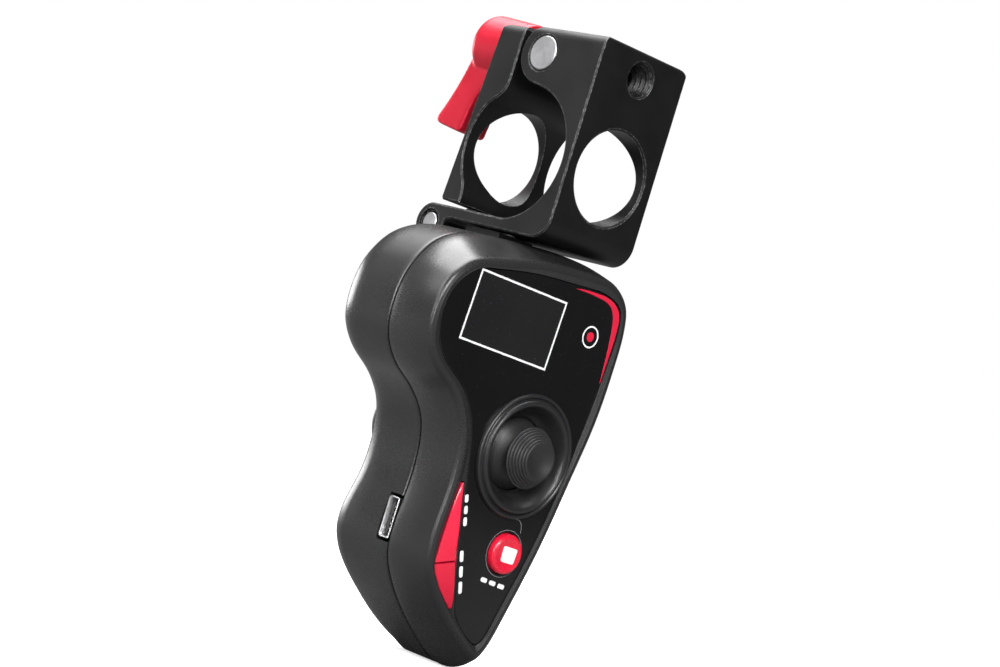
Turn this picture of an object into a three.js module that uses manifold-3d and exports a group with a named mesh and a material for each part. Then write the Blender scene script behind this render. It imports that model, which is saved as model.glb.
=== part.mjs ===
// Handheld wireless thumb controller for a camera gimbal, hanging from a hinged tube clamp.
// Units are millimetres. The origin is the centre of the clamp's tube bore, X runs along the tube,
// -Y is the front with the display and the thumbstick, and +Z is up.
import * as THREE from 'three';
import { mergeVertices } from 'three/addons/utils/BufferGeometryUtils.js';
import Module from 'manifold-3d';

const wasm = await Module();
wasm.setup();

// ---------------------------------------------------------------- driving dimensions
const GAP = 0.3; // clearance between neighbouring pieces
const TUBE_RADIUS = 12.5; // the clamp grips a 25 mm tube
const CLAMP = { width: 29.0, depth: 22.7, top: 23.6 };
const CROSS_HOLE_RADIUS = 8.75;
const TRIPOD_HOLE = { radius: 3.1, depth: 6.2 };
const SCREW_HEIGHT = 18.55; // barrel nut and tripod hole share this height
const JAW_FACE = { top: [12.4, 22.3], bottom: [14.75, -10.9] }; // slanted outer face, as [y, z]
const BARREL_NUT_RADIUS = 3.2;
const HINGE = { y: 16.0, z: -15.9, pinRadius: 1.75, earRadius: 3.6, knuckleHalfWidth: 4.2 };
const CLAMP_SCREW_RADIUS = 2.4;
const WASHER = { start: 12.95, end: 13.75, radius: 5.0 };
const LEVER = { start: 14.05, end: 26.0, hubRadius: 6.0, armHalfThickness: 3.4, tipHeight: 0.85 };

const RIM_Y = -14.95; // crest of the raised rim round the face
const PANEL_Y = -14.5; // front of the gloss panel
const PANEL_THICKNESS = 1.0;
const FRONT_WALL_BACK_Y = -11.6;
const SEAM_Y = -4.0; // parting plane of the two shells
const WALL = 1.8;
const BACK_CORNER_RADIUS = 6.8;
const OUTLINE_STEPS = 54;

const STICK = { x: -0.45, z: -52.1, pivotY: -6.0, domeRadius: 8.8 };
const DISPLAY = { x: -12.8, z: -29.5, windowWidth: 21.8, windowHeight: 12.4 };
const DISPLAY_GLASS = { x0: -24.3, x1: -1.3, z0: -38.3, z1: -22.9 };
const POWER = { x: 2.0, z: -69.8, radius: 3.7 };
const BOARD = { front: 1.2, back: 2.6 };
const TRIGGER = { x: -2.5, halfWidth: 6.3, pivotY: 8.2, pivotZ: -44.5 };
const USB = { z: -69.3, y: -2.35, length: 7.5, height: 2.6 };
const BRACKET = { x0: -9.4, x1: -0.6, y0: -1.0, y1: 8.0, top: -14.8 };
const BRACKET_PLATE = { x0: -10.6, x1: 4.4, y0: -5.5, y1: 8.0, bottom: -20.9, top: -19.4 };
const BATTERY = { x0: -20, x1: 7.0, y0: 3.2, y1: 8.8, z0: -37.8, z1: -25.2 };
const RADIO = { x0: -8, x1: 4, y0: -2.2, y1: 0.9, z0: -40.6, z1: -27 };
const SWITCH = { half: 1.3, height: 1.8, stemRadius: 0.7, stemEnd: -2.1 };
const SHELL_SCREWS = [[-19, -41], [11, -25.6], [8.4, -63.6], [4.6, -84.2]];
const MOUNT_SCREWS = [[-5, 1.2], [-5, 5.8]];

// ---------------------------------------------------------------- solids
// A closed, outward-facing solid from any closed geometry.
function solid(geometry) {
  const bare = geometry.clone();
  bare.deleteAttribute('normal');
  bare.deleteAttribute('uv');
  const merged = mergeVertices(bare, 1e-4);
  const points = merged.attributes.position;
  const corners = new Uint32Array(merged.index.array);
  const a = new THREE.Vector3();
  const b = new THREE.Vector3();
  const c = new THREE.Vector3();
  let volume = 0;
  for (let i = 0; i < corners.length; i += 3) {
    a.fromBufferAttribute(points, corners[i]);
    b.fromBufferAttribute(points, corners[i + 1]);
    c.fromBufferAttribute(points, corners[i + 2]);
    volume += a.dot(b.cross(c));
  }
  if (volume < 0) {
    for (let i = 0; i < corners.length; i += 3) {
      [corners[i], corners[i + 1]] = [corners[i + 1], corners[i]];
    }
  }
  const mesh = { numProp: 3, vertProperties: new Float32Array(points.array), triVerts: corners };
  return new wasm.Manifold(new wasm.Mesh(mesh));
}

function geometryOf(body) {
  const { vertProperties, triVerts } = body.getMesh();
  const geometry = new THREE.BufferGeometry();
  geometry.setAttribute('position', new THREE.BufferAttribute(new Float32Array(vertProperties), 3));
  geometry.setIndex(new THREE.BufferAttribute(new Uint32Array(triVerts), 1));
  const faceted = geometry.toNonIndexed();
  faceted.computeVertexNormals();
  return faceted;
}

const join = (...bodies) => bodies.reduce((sum, body) => sum.add(body));
const cut = (body, ...tools) => tools.reduce((rest, tool) => rest.subtract(tool), body);

function box(x0, x1, y0, y1, z0, z1) {
  const geometry = new THREE.BoxGeometry(x1 - x0, y1 - y0, z1 - z0);
  return solid(geometry.translate((x0 + x1) / 2, (y0 + y1) / 2, (z0 + z1) / 2));
}

// A cylinder along one axis, from a to b, at the two cross coordinates in axis order.
function rod(axis, radius, a, b, u, v, sides = 24) {
  const geometry = new THREE.CylinderGeometry(radius, radius, b - a, sides);
  const middle = (a + b) / 2;
  if (axis === 'x') geometry.rotateZ(Math.PI / 2).translate(middle, u, v);
  if (axis === 'y') geometry.translate(u, middle, v);
  if (axis === 'z') geometry.rotateX(Math.PI / 2).translate(u, v, middle);
  return solid(geometry);
}

// An outline in (y, z) pushed along X, or in (x, z) pushed along Y.
const EXTRUDE_AXES = {
  x: new THREE.Matrix4().makeBasis(
    new THREE.Vector3(0, 1, 0), new THREE.Vector3(0, 0, 1), new THREE.Vector3(1, 0, 0)),
  y: new THREE.Matrix4().makeBasis(
    new THREE.Vector3(1, 0, 0), new THREE.Vector3(0, 0, 1), new THREE.Vector3(0, -1, 0)),
};

function slab(axis, shape, a, b, curveSegments = 6) {
  const geometry = new THREE.ExtrudeGeometry(shape, { depth: b - a, curveSegments, bevelEnabled: false });
  geometry.applyMatrix4(EXTRUDE_AXES[axis]);
  return solid(axis === 'x' ? geometry.translate(a, 0, 0) : geometry.translate(0, b, 0));
}

const polygon = (points) => new THREE.Shape(points.map(([u, v]) => new THREE.Vector2(u, v)));

// A body turned about an axis along Y through (x, z); the profile holds [radius, y] pairs.
function turned(profile, x, z, sides = 32) {
  const points = profile.map(([r, y]) => new THREE.Vector2(r, y));
  return solid(new THREE.LatheGeometry(points, sides).translate(x, 0, z));
}

// ---------------------------------------------------------------- handset outlines, as [x, z]
// Outer edge of the face, seen from the front, starting at the top left and going clockwise.
const FACE_OUTLINE = [
  [-25.5, -21.6], [-19.4, -20.2], [-9.8, -18.2], [1.2, -17.4], [9.2, -17.5], [13.9, -20.6],
  [15.4, -25.5], [15.6, -32], [15.1, -42.5], [13.0, -54.5], [10.7, -67], [7.0, -80.3],
  [4.4, -87.6], [2.2, -89.6], [-0.6, -88.3], [-6.4, -84.6], [-11.9, -80], [-15.4, -75.9],
  [-16.5, -70], [-15.9, -59.5], [-17.1, -51.4], [-21.5, -45.1], [-27.3, -41.7], [-30.7, -38],
  [-31.9, -33.2], [-31.2, -28], [-29.1, -24.4],
];
// The same points where the body is fullest, from the parting plane backwards.
const BODY_OUTLINE = [
  [-26.2, -19.9], [-20.6, -17.2], [-9.6, -15.9], [1.4, -15.3], [8.0, -16.0], [14.2, -19.6],
  [16.1, -25.3], [16.4, -32], [15.9, -42.5], [14.1, -54.5], [12.2, -67], [9.9, -80.5],
  [8.2, -89.2], [5.2, -92.8], [1.0, -91.4], [-6.0, -86.6], [-12.4, -80.6], [-15.9, -75.2],
  [-16.4, -70], [-15.6, -60.5], [-17.2, -51.4], [-21.6, -46.4], [-27.6, -42.6], [-31.1, -38.2],
  [-32.0, -32.8], [-31.3, -27.6], [-29.4, -23.6],
];
const PANEL_OUTLINE = [
  [-24.4, -23.1], [-19.6, -22.0], [-10.5, -20.6], [0, -20.0], [8.2, -19.9], [12.2, -21.6],
  [13.4, -25.4], [13.3, -32], [12.4, -42.5], [10.9, -54.5], [8.5, -67], [5.0, -79.5],
  [2.7, -86.2], [1.2, -86.9], [-5.0, -82.8], [-6.4, -79.6], [-9.2, -70.5], [-12.3, -58.8],
  [-15.3, -49.0], [-19.6, -43.7], [-25.6, -40.1], [-28.9, -36.2], [-29.7, -31.8], [-28.8, -27.4],
];
// Middle of the grip: deep insets move towards it.
const SPINE = [[-8, -33], [-1.5, -52], [1, -76]].map(([x, z]) => new THREE.Vector2(x, z));
// Depth of the back at a few heights, [z, y].
const BACK_DEPTH = [[-15, 12.2], [-38, 12.0], [-52, 12.5], [-64, 13.2], [-69, 14.6], [-79, 14.6], [-87, 12.6], [-94, 9]];
const NORMAL_INSET = 2.5; // how far an outline is inset along its own normals

function smoothOutline(points, steps) {
  const curve = new THREE.CatmullRomCurve3(points.map(([x, z]) => new THREE.Vector3(x, z, 0)), true);
  const step = (_, i) => {
    const { x, y } = curve.getPoint(i / steps);
    return new THREE.Vector2(x, y);
  };
  return Array.from({ length: steps }, step);
}

function nearestOnSpine(point) {
  const line = new THREE.Line3();
  const found = new THREE.Vector3();
  const at = new THREE.Vector3(point.x, point.y, 0);
  let best = null;
  for (let i = 0; i + 1 < SPINE.length; i += 1) {
    line.start.set(SPINE[i].x, SPINE[i].y, 0);
    line.end.set(SPINE[i + 1].x, SPINE[i + 1].y, 0);
    line.closestPointToPoint(at, true, found);
    if (!best || found.distanceTo(at) < best.distanceTo(at)) best = found.clone();
  }
  return new THREE.Vector2(best.x, best.y);
}

// Moves a clockwise outline inwards by a distance, or outwards when it is negative.
function inset(outline, distance) {
  const count = outline.length;
  const along = Math.min(distance, NORMAL_INSET);
  const deeper = distance - along;
  return outline.map((point, i) => {
    const tangent = outline[(i + 1) % count].clone().sub(outline[(i + count - 1) % count]).normalize();
    const moved = point.clone().add(new THREE.Vector2(tangent.y, -tangent.x).multiplyScalar(along));
    const inwards = nearestOnSpine(point).sub(moved).normalize();
    return moved.add(inwards.multiplyScalar(deeper));
  });
}

function depthOfBack(z) {
  for (let i = 0; i + 1 < BACK_DEPTH.length; i += 1) {
    const [high, yHigh] = BACK_DEPTH[i];
    const [low, yLow] = BACK_DEPTH[i + 1];
    if (z > low || i + 2 === BACK_DEPTH.length) {
      const t = THREE.MathUtils.smoothstep(high - z, 0, high - low);
      return THREE.MathUtils.lerp(yHigh, yLow, t);
    }
  }
  return BACK_DEPTH[0][1];
}

// A closed skin through rings of [x, y, z] that all hold the same number of points.
function loft(rings) {
  const count = rings[0].length;
  const positions = rings.flat().flat();
  const faces = [];
  for (let r = 0; r + 1 < rings.length; r += 1) {
    for (let i = 0; i < count; i += 1) {
      const j = (i + 1) % count;
      const [a, b, c, d] = [r * count + i, r * count + j, (r + 1) * count + j, (r + 1) * count + i];
      faces.push(a, b, c, a, c, d);
    }
  }
  const closeEnd = (ring, base, alongRing) => {
    const contour = ring.map(([x, , z]) => new THREE.Vector2(x, z));
    const ringSign = Math.sign(THREE.ShapeUtils.area(contour));
    for (const face of THREE.ShapeUtils.triangulateShape(contour, [])) {
      const sameWay = Math.sign(THREE.ShapeUtils.area(face.map((k) => contour[k]))) === ringSign;
      const ordered = sameWay === alongRing ? face : [...face].reverse();
      faces.push(...ordered.map((k) => base + k));
    }
  };
  closeEnd(rings[0], 0, false);
  closeEnd(rings.at(-1), (rings.length - 1) * count, true);
  const geometry = new THREE.BufferGeometry();
  geometry.setAttribute('position', new THREE.Float32BufferAttribute(positions, 3));
  geometry.setIndex(faces);
  return solid(geometry);
}

// The whole handset, or with a wall thickness its hollow.
function handset(wall) {
  const face = smoothOutline(FACE_OUTLINE, OUTLINE_STEPS);
  const body = smoothOutline(BODY_OUTLINE, OUTLINE_STEPS);
  const ringAt = (y, distance) => {
    const t = THREE.MathUtils.clamp((y - RIM_Y) / (SEAM_Y - RIM_Y), 0, 1);
    const fullness = Math.sin(t * Math.PI / 2);
    const outline = inset(face.map((p, i) => p.clone().lerp(body[i], fullness)), distance + wall);
    return outline.map((p) => [p.x, y, p.y]);
  };
  const front = wall ? [[FRONT_WALL_BACK_Y, 0]] : [[RIM_Y, 0.5], [RIM_Y + 0.35, 0.12], [RIM_Y + 1.1, 0]];
  const rings = [...front, [-9.5, -0.25], [-7, -0.2], [SEAM_Y, 0], [4.5, 0]].map(([y, d]) => ringAt(y, d));
  const full = ringAt(SEAM_Y, -wall);
  const radius = BACK_CORNER_RADIUS - wall;
  for (let i = 1; i <= 4; i += 1) {
    const angle = (i / 4) * Math.PI / 2;
    const distance = BACK_CORNER_RADIUS - radius * Math.cos(angle);
    const outline = inset(full.map(([x, , z]) => new THREE.Vector2(x, z)), distance);
    rings.push(outline.map((p, k) => {
      const centre = depthOfBack(full[k][2]) - BACK_CORNER_RADIUS;
      return [p.x, centre + radius * Math.sin(angle), p.y];
    }));
  }
  return loft(rings);
}

// ---------------------------------------------------------------- finishes
const FINISH = {
  anodised: { color: 0x1b1b1d, roughness: 0.45, metalness: 0.6 },
  redAnodised: { color: 0xb80f22, roughness: 0.38, metalness: 0.5 },
  steel: { color: 0xc9cacc, roughness: 0.28, metalness: 1 },
  shellPlastic: { color: 0x232325, roughness: 0.5, metalness: 0 },
  glossPanel: { color: 0x08080a, roughness: 0.12, metalness: 0 },
  redPlastic: { color: 0xd8152f, roughness: 0.3, metalness: 0 },
  rubber: { color: 0x1d1d1f, roughness: 0.7, metalness: 0 },
  blackPlastic: { color: 0x141416, roughness: 0.45, metalness: 0 },
  circuit: { color: 0x14402a, roughness: 0.5, metalness: 0 },
  battery: { color: 0xa9adb3, roughness: 0.4, metalness: 0.6 },
  displayGlass: { color: 0x0c0d12, roughness: 0.08, metalness: 0 },
};

const model = new THREE.Group();

function piece(name, body, finish, parent = model) {
  const mesh = new THREE.Mesh(geometryOf(body), new THREE.MeshStandardMaterial(FINISH[finish]));
  mesh.name = name;
  parent.add(mesh);
}

// ---------------------------------------------------------------- tube clamp
const clamp = new THREE.Group();
model.add(clamp);
const halfDepth = CLAMP.depth / 2;
const frontY = -CLAMP.width / 2;
const bottomZ = frontY;

const clampCurve = 11; // facets of each clamp arc

// The clamp screw stands square to the jaw's slanted outer face: pieces on it are drawn along Y at
// the screw's height, then swung about the barrel nut.
const screwTilt = THREE.MathUtils.radToDeg(
  Math.atan2(JAW_FACE.bottom[0] - JAW_FACE.top[0], JAW_FACE.top[1] - JAW_FACE.bottom[1]));
const alongScrew = (body) => body
  .translate([0, 0, -SCREW_HEIGHT]).rotate([screwTilt, 0, 0]).translate([0, 0, SCREW_HEIGHT]);
const screwBore = (radius, a, b) => alongScrew(rod('y', radius, a, b, 0, SCREW_HEIGHT));

// Fixed side, in (y, z): a front wall and a lower arm round the bore, a boss round the barrel nut
// that sweeps into the bore, and a rounded ear for the hinge pin.
function fixedSide() {
  const bossRadius = 5.6;
  const cornerRadius = 1.2;
  const frontFillet = 4.3;
  const shape = new THREE.Shape();
  shape.moveTo(frontY, CLAMP.top - cornerRadius);
  shape.quadraticCurveTo(frontY, CLAMP.top, frontY + cornerRadius, CLAMP.top);
  shape.lineTo(1.9, CLAMP.top);
  shape.absarc(0, SCREW_HEIGHT, bossRadius, 1.05, -0.95, true);
  shape.bezierCurveTo(1.6, 12.6, -0.4, 12.9, -3.4, 12.03);
  const boreStart = Math.atan2(12.03, -3.4);
  shape.absarc(0, 0, TUBE_RADIUS, boreStart, Math.PI * 1.5 - 0.18, false);
  shape.lineTo(HINGE.y - 4, -12.3);
  shape.absarc(HINGE.y, HINGE.z, HINGE.earRadius, Math.PI / 2, -Math.PI, true);
  shape.quadraticCurveTo(12.3, bottomZ, 10.2, bottomZ);
  shape.lineTo(frontY + frontFillet, bottomZ);
  shape.absarc(frontY + frontFillet, bottomZ + frontFillet, frontFillet, -Math.PI / 2, -Math.PI, true);
  shape.closePath();
  const profile = slab('x', shape, -halfDepth, halfDepth, clampCurve);
  const slotHalf = HINGE.knuckleHalfWidth + GAP;
  return cut(
    profile,
    rod('y', CROSS_HOLE_RADIUS, frontY - 1, 0, 0, 0, 36),
    rod('y', TRIPOD_HOLE.radius, frontY - 1, frontY + TRIPOD_HOLE.depth, 0, SCREW_HEIGHT),
    screwBore(3.0, frontY + TRIPOD_HOLE.depth + 1, 8),
    rod('x', BARREL_NUT_RADIUS + GAP, -halfDepth - 1, halfDepth + 1, 0, SCREW_HEIGHT),
    rod('x', HINGE.pinRadius + GAP, -halfDepth - 1, halfDepth + 1, HINGE.y, HINGE.z),
    rod('x', 2.4, -halfDepth - 1, -halfDepth + 0.5, HINGE.y, HINGE.z),
    box(-slotHalf, slotHalf, 11.9, 21, -21, -11),
    ...MOUNT_SCREWS.map(([x, y]) => rod('z', 1.25 + GAP, bottomZ - 1, bottomZ + 1.6, x, y, 16)),
  );
}
piece('clamp_body', fixedSide(), 'anodised', clamp);

// Hinged side: a rear wall hollowed to the tube, with a knuckle between the ears.
function jaw() {
  const shape = new THREE.Shape();
  shape.moveTo(6.3, 22.4);
  shape.lineTo(7.0, 23.1);
  shape.lineTo(11.7, 23.1);
  shape.lineTo(...JAW_FACE.top);
  shape.lineTo(...JAW_FACE.bottom);
  shape.lineTo(14.4, -11.4);
  shape.lineTo(9.8, -11.4);
  shape.lineTo(9.7, -9.6);
  shape.quadraticCurveTo(9.9, -9.0, 10.6, -8.4);
  const jawRadius = TUBE_RADIUS + 0.2;
  shape.absarc(0, 0, jawRadius, Math.atan2(-7.2, 10.45), Math.atan2(7.6, 10.2), false);
  shape.bezierCurveTo(8.8, 9.2, 6.3, 9.6, 6.3, 13);
  shape.closePath();
  const knuckleReach = HINGE.z + HINGE.earRadius;
  const half = HINGE.knuckleHalfWidth;
  const tail = polygon([
    [12.2, -12.6], [12.2, -11.2], [14.4, -11.2], [17.2, knuckleReach - 0.6], [18, -15.9], [14, -15.9],
  ]);
  const bolt = screwBore(3.0, 0, 16);
  return cut(
    join(
      slab('x', shape, -halfDepth, halfDepth, clampCurve),
      slab('x', tail, -half, half),
      rod('x', HINGE.earRadius - 0.3, -half, half, HINGE.y, HINGE.z),
    ),
    rod('y', CROSS_HOLE_RADIUS, 0, 18, 0, 0, 36),
    join(bolt.translate([0, 0, 0.2]), bolt.translate([0, 0, -0.6])),
    rod('x', HINGE.pinRadius + GAP, -half - 1, half + 1, HINGE.y, HINGE.z),
  );
}
piece('clamp_jaw', jaw(), 'anodised', clamp);

const pinHalf = halfDepth - 0.15;
piece('hinge_pin', rod('x', HINGE.pinRadius, -pinHalf, pinHalf, HINGE.y, HINGE.z), 'steel', clamp);
piece('barrel_nut', cut(
  rod('x', BARREL_NUT_RADIUS, -pinHalf, pinHalf, 0, SCREW_HEIGHT, 28),
  screwBore(CLAMP_SCREW_RADIUS + GAP, -5, 5),
), 'steel', clamp);

// ---------------------------------------------------------------- clamp lever
piece('clamp_screw', screwBore(CLAMP_SCREW_RADIUS, -5.5, LEVER.end - 3.5), 'steel', clamp);
piece('lever_washer', cut(
  screwBore(WASHER.radius, WASHER.start, WASHER.end),
  screwBore(CLAMP_SCREW_RADIUS + GAP, WASHER.start - 1, WASHER.end + 1),
), 'steel', clamp);

function lever() {
  const { start, end, hubRadius, armHalfThickness: half, tipHeight: tip } = LEVER;
  const hub = turned([
    [0, start], [hubRadius - 0.4, start], [hubRadius, start + 0.4], [hubRadius, end - 1.6],
    [hubRadius - 0.6, end - 0.5], [hubRadius - 2, end], [0, end],
  ], 0, SCREW_HEIGHT);
  const arm = new THREE.Shape();
  arm.moveTo(start + 0.6, SCREW_HEIGHT);
  arm.lineTo(start + 1.2, 15.2);
  arm.bezierCurveTo(18.0, 13.4, 21.9, 11, 22.5, 5);
  arm.lineTo(22.8, tip + 0.9);
  arm.quadraticCurveTo(22.9, tip, 23.8, tip);
  arm.lineTo(29.0, tip + 0.5);
  arm.quadraticCurveTo(30.5, tip + 0.7, 30.3, tip + 1.8);
  arm.quadraticCurveTo(27.7, 8.4, 26.7, 14.2);
  arm.quadraticCurveTo(26.2, 16.4, end - 0.6, SCREW_HEIGHT + 1);
  arm.closePath();
  return cut(
    alongScrew(join(hub, slab('x', arm, -half, half))),
    screwBore(CLAMP_SCREW_RADIUS + GAP, start - 1, end - 3),
  );
}
piece('clamp_lever', lever(), 'redAnodised', clamp);

// ---------------------------------------------------------------- handset shells
const outer = handset(0);
const hollow = handset(WALL);
const FAR = 60; // reach of the tools that split the handset
const panelCurve = smoothOutline(PANEL_OUTLINE, 72);
const panelTool = (distance, a, b) => slab('y', new THREE.Shape(inset(panelCurve, distance)), a, b);
const through = (radius, { x, z }, a, b, sides = 24) => rod('y', radius, a, b, x, z, sides);

const stickHoleRadius = 10.45;
const displayHole = (margin) => box(
  DISPLAY.x - DISPLAY.windowWidth / 2 - margin, DISPLAY.x + DISPLAY.windowWidth / 2 + margin, -16, -11,
  DISPLAY.z - DISPLAY.windowHeight / 2 - margin, DISPLAY.z + DISPLAY.windowHeight / 2 + margin,
);

// Two-part leaf key along the left of the face: each half is an outline in (x, z).
const KEY_SPLIT = [[-14.0, -74.4], [-10.6, -73.2], [-9.4, -71.9]];
const UPPER_KEY = [[-13.3, -59.4], [-13.8, -63.5], [-14.0, -69.5], ...KEY_SPLIT, [-11.3, -65.4], [-12.85, -59.4]];
const LOWER_KEY = [...[...KEY_SPLIT].reverse(), [-13.0, -75.8], [-11.3, -77.7], [-7.3, -81.1], [-6.8, -80.8]]
  .map(([x, z]) => [x, z - 0.42]);
const KEY_BASE_Y = -12.2;
const KEY_SWITCHES = { upper: [-12.3, -63.6], lower: [-9.8, -76.2] }; // [x, z] of each stem and switch

function keyCap(points, [stemX, stemZ]) {
  const cap = slab('y', polygon(points), -15.1, KEY_BASE_Y);
  return join(cap, rod('y', 0.9, KEY_BASE_Y - 0.5, -3.1, stemX, stemZ, 10));
}
const keyPocket = slab('y', new THREE.Shape(smoothOutline([
  [-13.3, -58.4], [-14.4, -62], [-14.6, -69.5], [-14.55, -74.2], [-13.5, -76.5], [-11.7, -78.7],
  [-7.2, -82.3], [-6.0, -81.4], [-8.9, -72], [-10.8, -65.3], [-12.4, -58.8],
], 44)), -17, -11);

// Square opening for the bracket's boss, through the top wall.
const bossWindow = box(
  BRACKET.x0 - GAP, BRACKET.x1 + GAP, BRACKET.y0 - GAP, BRACKET.y1 + GAP, -20.2, -13);
const usbWindow = box(
  -19, -12, USB.y - USB.height / 2 - GAP, USB.y + USB.height / 2 + GAP,
  USB.z - USB.length / 2 - GAP, USB.z + USB.length / 2 + GAP);

const post = (radius, a, b) => SHELL_SCREWS.map(([x, z]) => rod('y', radius, a, b, x, z, 16));

function frontShell() {
  const half = outer.intersect(box(-FAR, FAR, -FAR, SEAM_Y - GAP / 2, -2 * FAR, 0));
  const skin = cut(half, hollow);
  const posts = post(2.4, FRONT_WALL_BACK_Y - 0.5, SEAM_Y - GAP / 2).map((p) => p.intersect(outer));
  return cut(
    join(skin, ...posts),
    panelTool(-GAP, -17, PANEL_Y + PANEL_THICKNESS + GAP),
    displayHole(0.5),
    through(stickHoleRadius, STICK, -16, -10, 40),
    through(POWER.radius + GAP, POWER, -16, -10),
    keyPocket,
    bossWindow,
    usbWindow,
    ...post(1.0 + GAP, -9.6, 0),
  );
}
piece('front_shell', frontShell(), 'shellPlastic');

const TRIGGER_OPENING = box(
  TRIGGER.x - TRIGGER.halfWidth - 0.35, TRIGGER.x + TRIGGER.halfWidth + 0.35, 9.5, 22, -60.4, -46.4);

function rearShell() {
  const half = outer.intersect(box(-FAR, FAR, SEAM_Y + GAP / 2, FAR, -2 * FAR, 0));
  const skin = cut(half, hollow);
  const posts = post(2.7, SEAM_Y + GAP / 2, 20).map((p) => p.intersect(outer));
  const lug = (x0, x1) => cut(
    box(x0, x1, 6.2, 11.6, TRIGGER.pivotZ - 2, TRIGGER.pivotZ + 2),
    rod('x', 1.0 + GAP, x0 - 1, x1 + 1, TRIGGER.pivotY, TRIGGER.pivotZ, 12),
  );
  const lugStart = TRIGGER.halfWidth + 0.4;
  const lugEnd = lugStart + 2.2;
  return cut(
    join(
      skin, ...posts,
      lug(TRIGGER.x - lugEnd, TRIGGER.x - lugStart).intersect(outer),
      lug(TRIGGER.x + lugStart, TRIGGER.x + lugEnd).intersect(outer),
    ),
    TRIGGER_OPENING,
    bossWindow,
    usbWindow,
    ...post(1.0 + GAP, -6, 20),
    ...post(2.0 + GAP, 6.5, 20),
  );
}
piece('rear_shell', rearShell(), 'shellPlastic');

const screwAtHead = (x, z) => join(
  rod('y', 1.0, -9.2, 7.2, x, z, 12), rod('y', 2.0, 6.8, 8.6, x, z, 16));
SHELL_SCREWS.forEach(([x, z], i) => piece(`shell_screw_${i + 1}`, screwAtHead(x, z), 'steel'));

// ---------------------------------------------------------------- clamp bracket inside the handset
const bracketPlate = box(
  BRACKET_PLATE.x0, BRACKET_PLATE.x1, BRACKET_PLATE.y0, BRACKET_PLATE.y1, BRACKET_PLATE.bottom, BRACKET_PLATE.top);
const bracketBoss = box(
  BRACKET.x0, BRACKET.x1, BRACKET.y0, BRACKET.y1, BRACKET_PLATE.bottom + 0.4, BRACKET.top);
piece('mount_bracket', cut(
  join(bracketPlate, bracketBoss),
  ...MOUNT_SCREWS.map(([x, y]) => rod('z', 1.25 + GAP, -24, -10, x, y, 16)),
), 'anodised');
MOUNT_SCREWS.forEach(([x, y], i) => piece(`mount_screw_${i + 1}`, join(
  rod('z', 1.25, -22, -13.2, x, y, 16), rod('z', 2.1, -23.1, -21.2, x, y, 16)), 'steel'));

// ---------------------------------------------------------------- face
piece('face_panel', cut(
  panelTool(0, PANEL_Y, PANEL_Y + PANEL_THICKNESS),
  through(stickHoleRadius, STICK, -16, -10, 40),
  through(POWER.radius + GAP, POWER, -16, -10),
), 'glossPanel');

piece('display_module', box(
  DISPLAY_GLASS.x0, DISPLAY_GLASS.x1, FRONT_WALL_BACK_Y + GAP, -9.8, DISPLAY_GLASS.z0, DISPLAY_GLASS.z1,
), 'displayGlass');

piece('power_button', turned([
  [0, -15.6], [POWER.radius - 0.7, -15.6], [POWER.radius - 0.2, -15.4], [POWER.radius, -14.9],
  [POWER.radius, -11.2], [POWER.radius + 1.1, -11.2], [POWER.radius + 1.1, -10.2], [1.2, -10.2],
  [1.2, -3.1], [0, -3.1],
], POWER.x, POWER.z), 'redPlastic');

piece('upper_key', keyCap(UPPER_KEY, KEY_SWITCHES.upper), 'redPlastic');
piece('lower_key', keyCap(LOWER_KEY, KEY_SWITCHES.lower), 'redPlastic');

// ---------------------------------------------------------------- thumbstick
piece('stick_ring', turned([
  [11.4, -14.8], [11.4, -15.1], [11.1, -15.35], [10.6, -15.35], [10.4, -15.1], [10.15, -15.6],
  [9.75, -15.75], [9.3, -15.4], [8.6, -14.3], [7.5, -12.5], [7.3, -12.0], [8.2, -11.8],
  [10.15, -13.2], [10.15, -14.8], [11.4, -14.8],
], STICK.x, STICK.z, 36), 'blackPlastic');

function thumbstick() {
  const { pivotY, domeRadius } = STICK;
  const onSphere = (radius, degrees) => {
    const angle = THREE.MathUtils.degToRad(degrees);
    return [radius * Math.sin(angle), pivotY - radius * Math.cos(angle)];
  };
  const inner = domeRadius - 0.9;
  const ribs = [];
  for (let y = -18.6; y < -15.3; y += 0.8) {
    const radius = 4.35 + (y + 18.6) * 0.25;
    ribs.push([radius, y], [radius + 0.18, y + 0.22], [radius + 0.18, y + 0.44]);
  }
  const profile = [
    [0, -18.9], [2.6, -19.2], [3.8, -19.2], [4.3, -18.9], ...ribs, [5.3, -14.9], [4.9, -14.3], [4.8, -13.7],
    ...[35, 42, 49, 55].map((degrees) => onSphere(domeRadius, degrees)),
    ...[54, 44, 33, 22].map((degrees) => onSphere(inner, degrees)),
    [1.3, -13.4], [1.3, -7.5], [1.7, -6.9], [1.9, -6.0], [1.7, -5.1], [0, -4.2],
  ];
  return turned(profile, STICK.x, STICK.z, 28);
}
piece('thumbstick', thumbstick(), 'rubber');

const canHalf = 8;
const canWall = 0.8;
const around = (x0, x1, y0, y1, z0, z1) => box(
  STICK.x + x0, STICK.x + x1, y0, y1, STICK.z + z0, STICK.z + z1);
const canInside = canHalf - canWall;
piece('stick_housing', cut(
  around(-canHalf, canHalf, -8, 0.8, -canHalf, canHalf),
  around(-canInside, canInside, -7.2, 0, -canInside, canInside),
  through(5.0, STICK, -10, -5),
  rod('x', 1.0 + GAP, -12, 12, STICK.pivotY, STICK.z, 16),
), 'steel');

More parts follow.
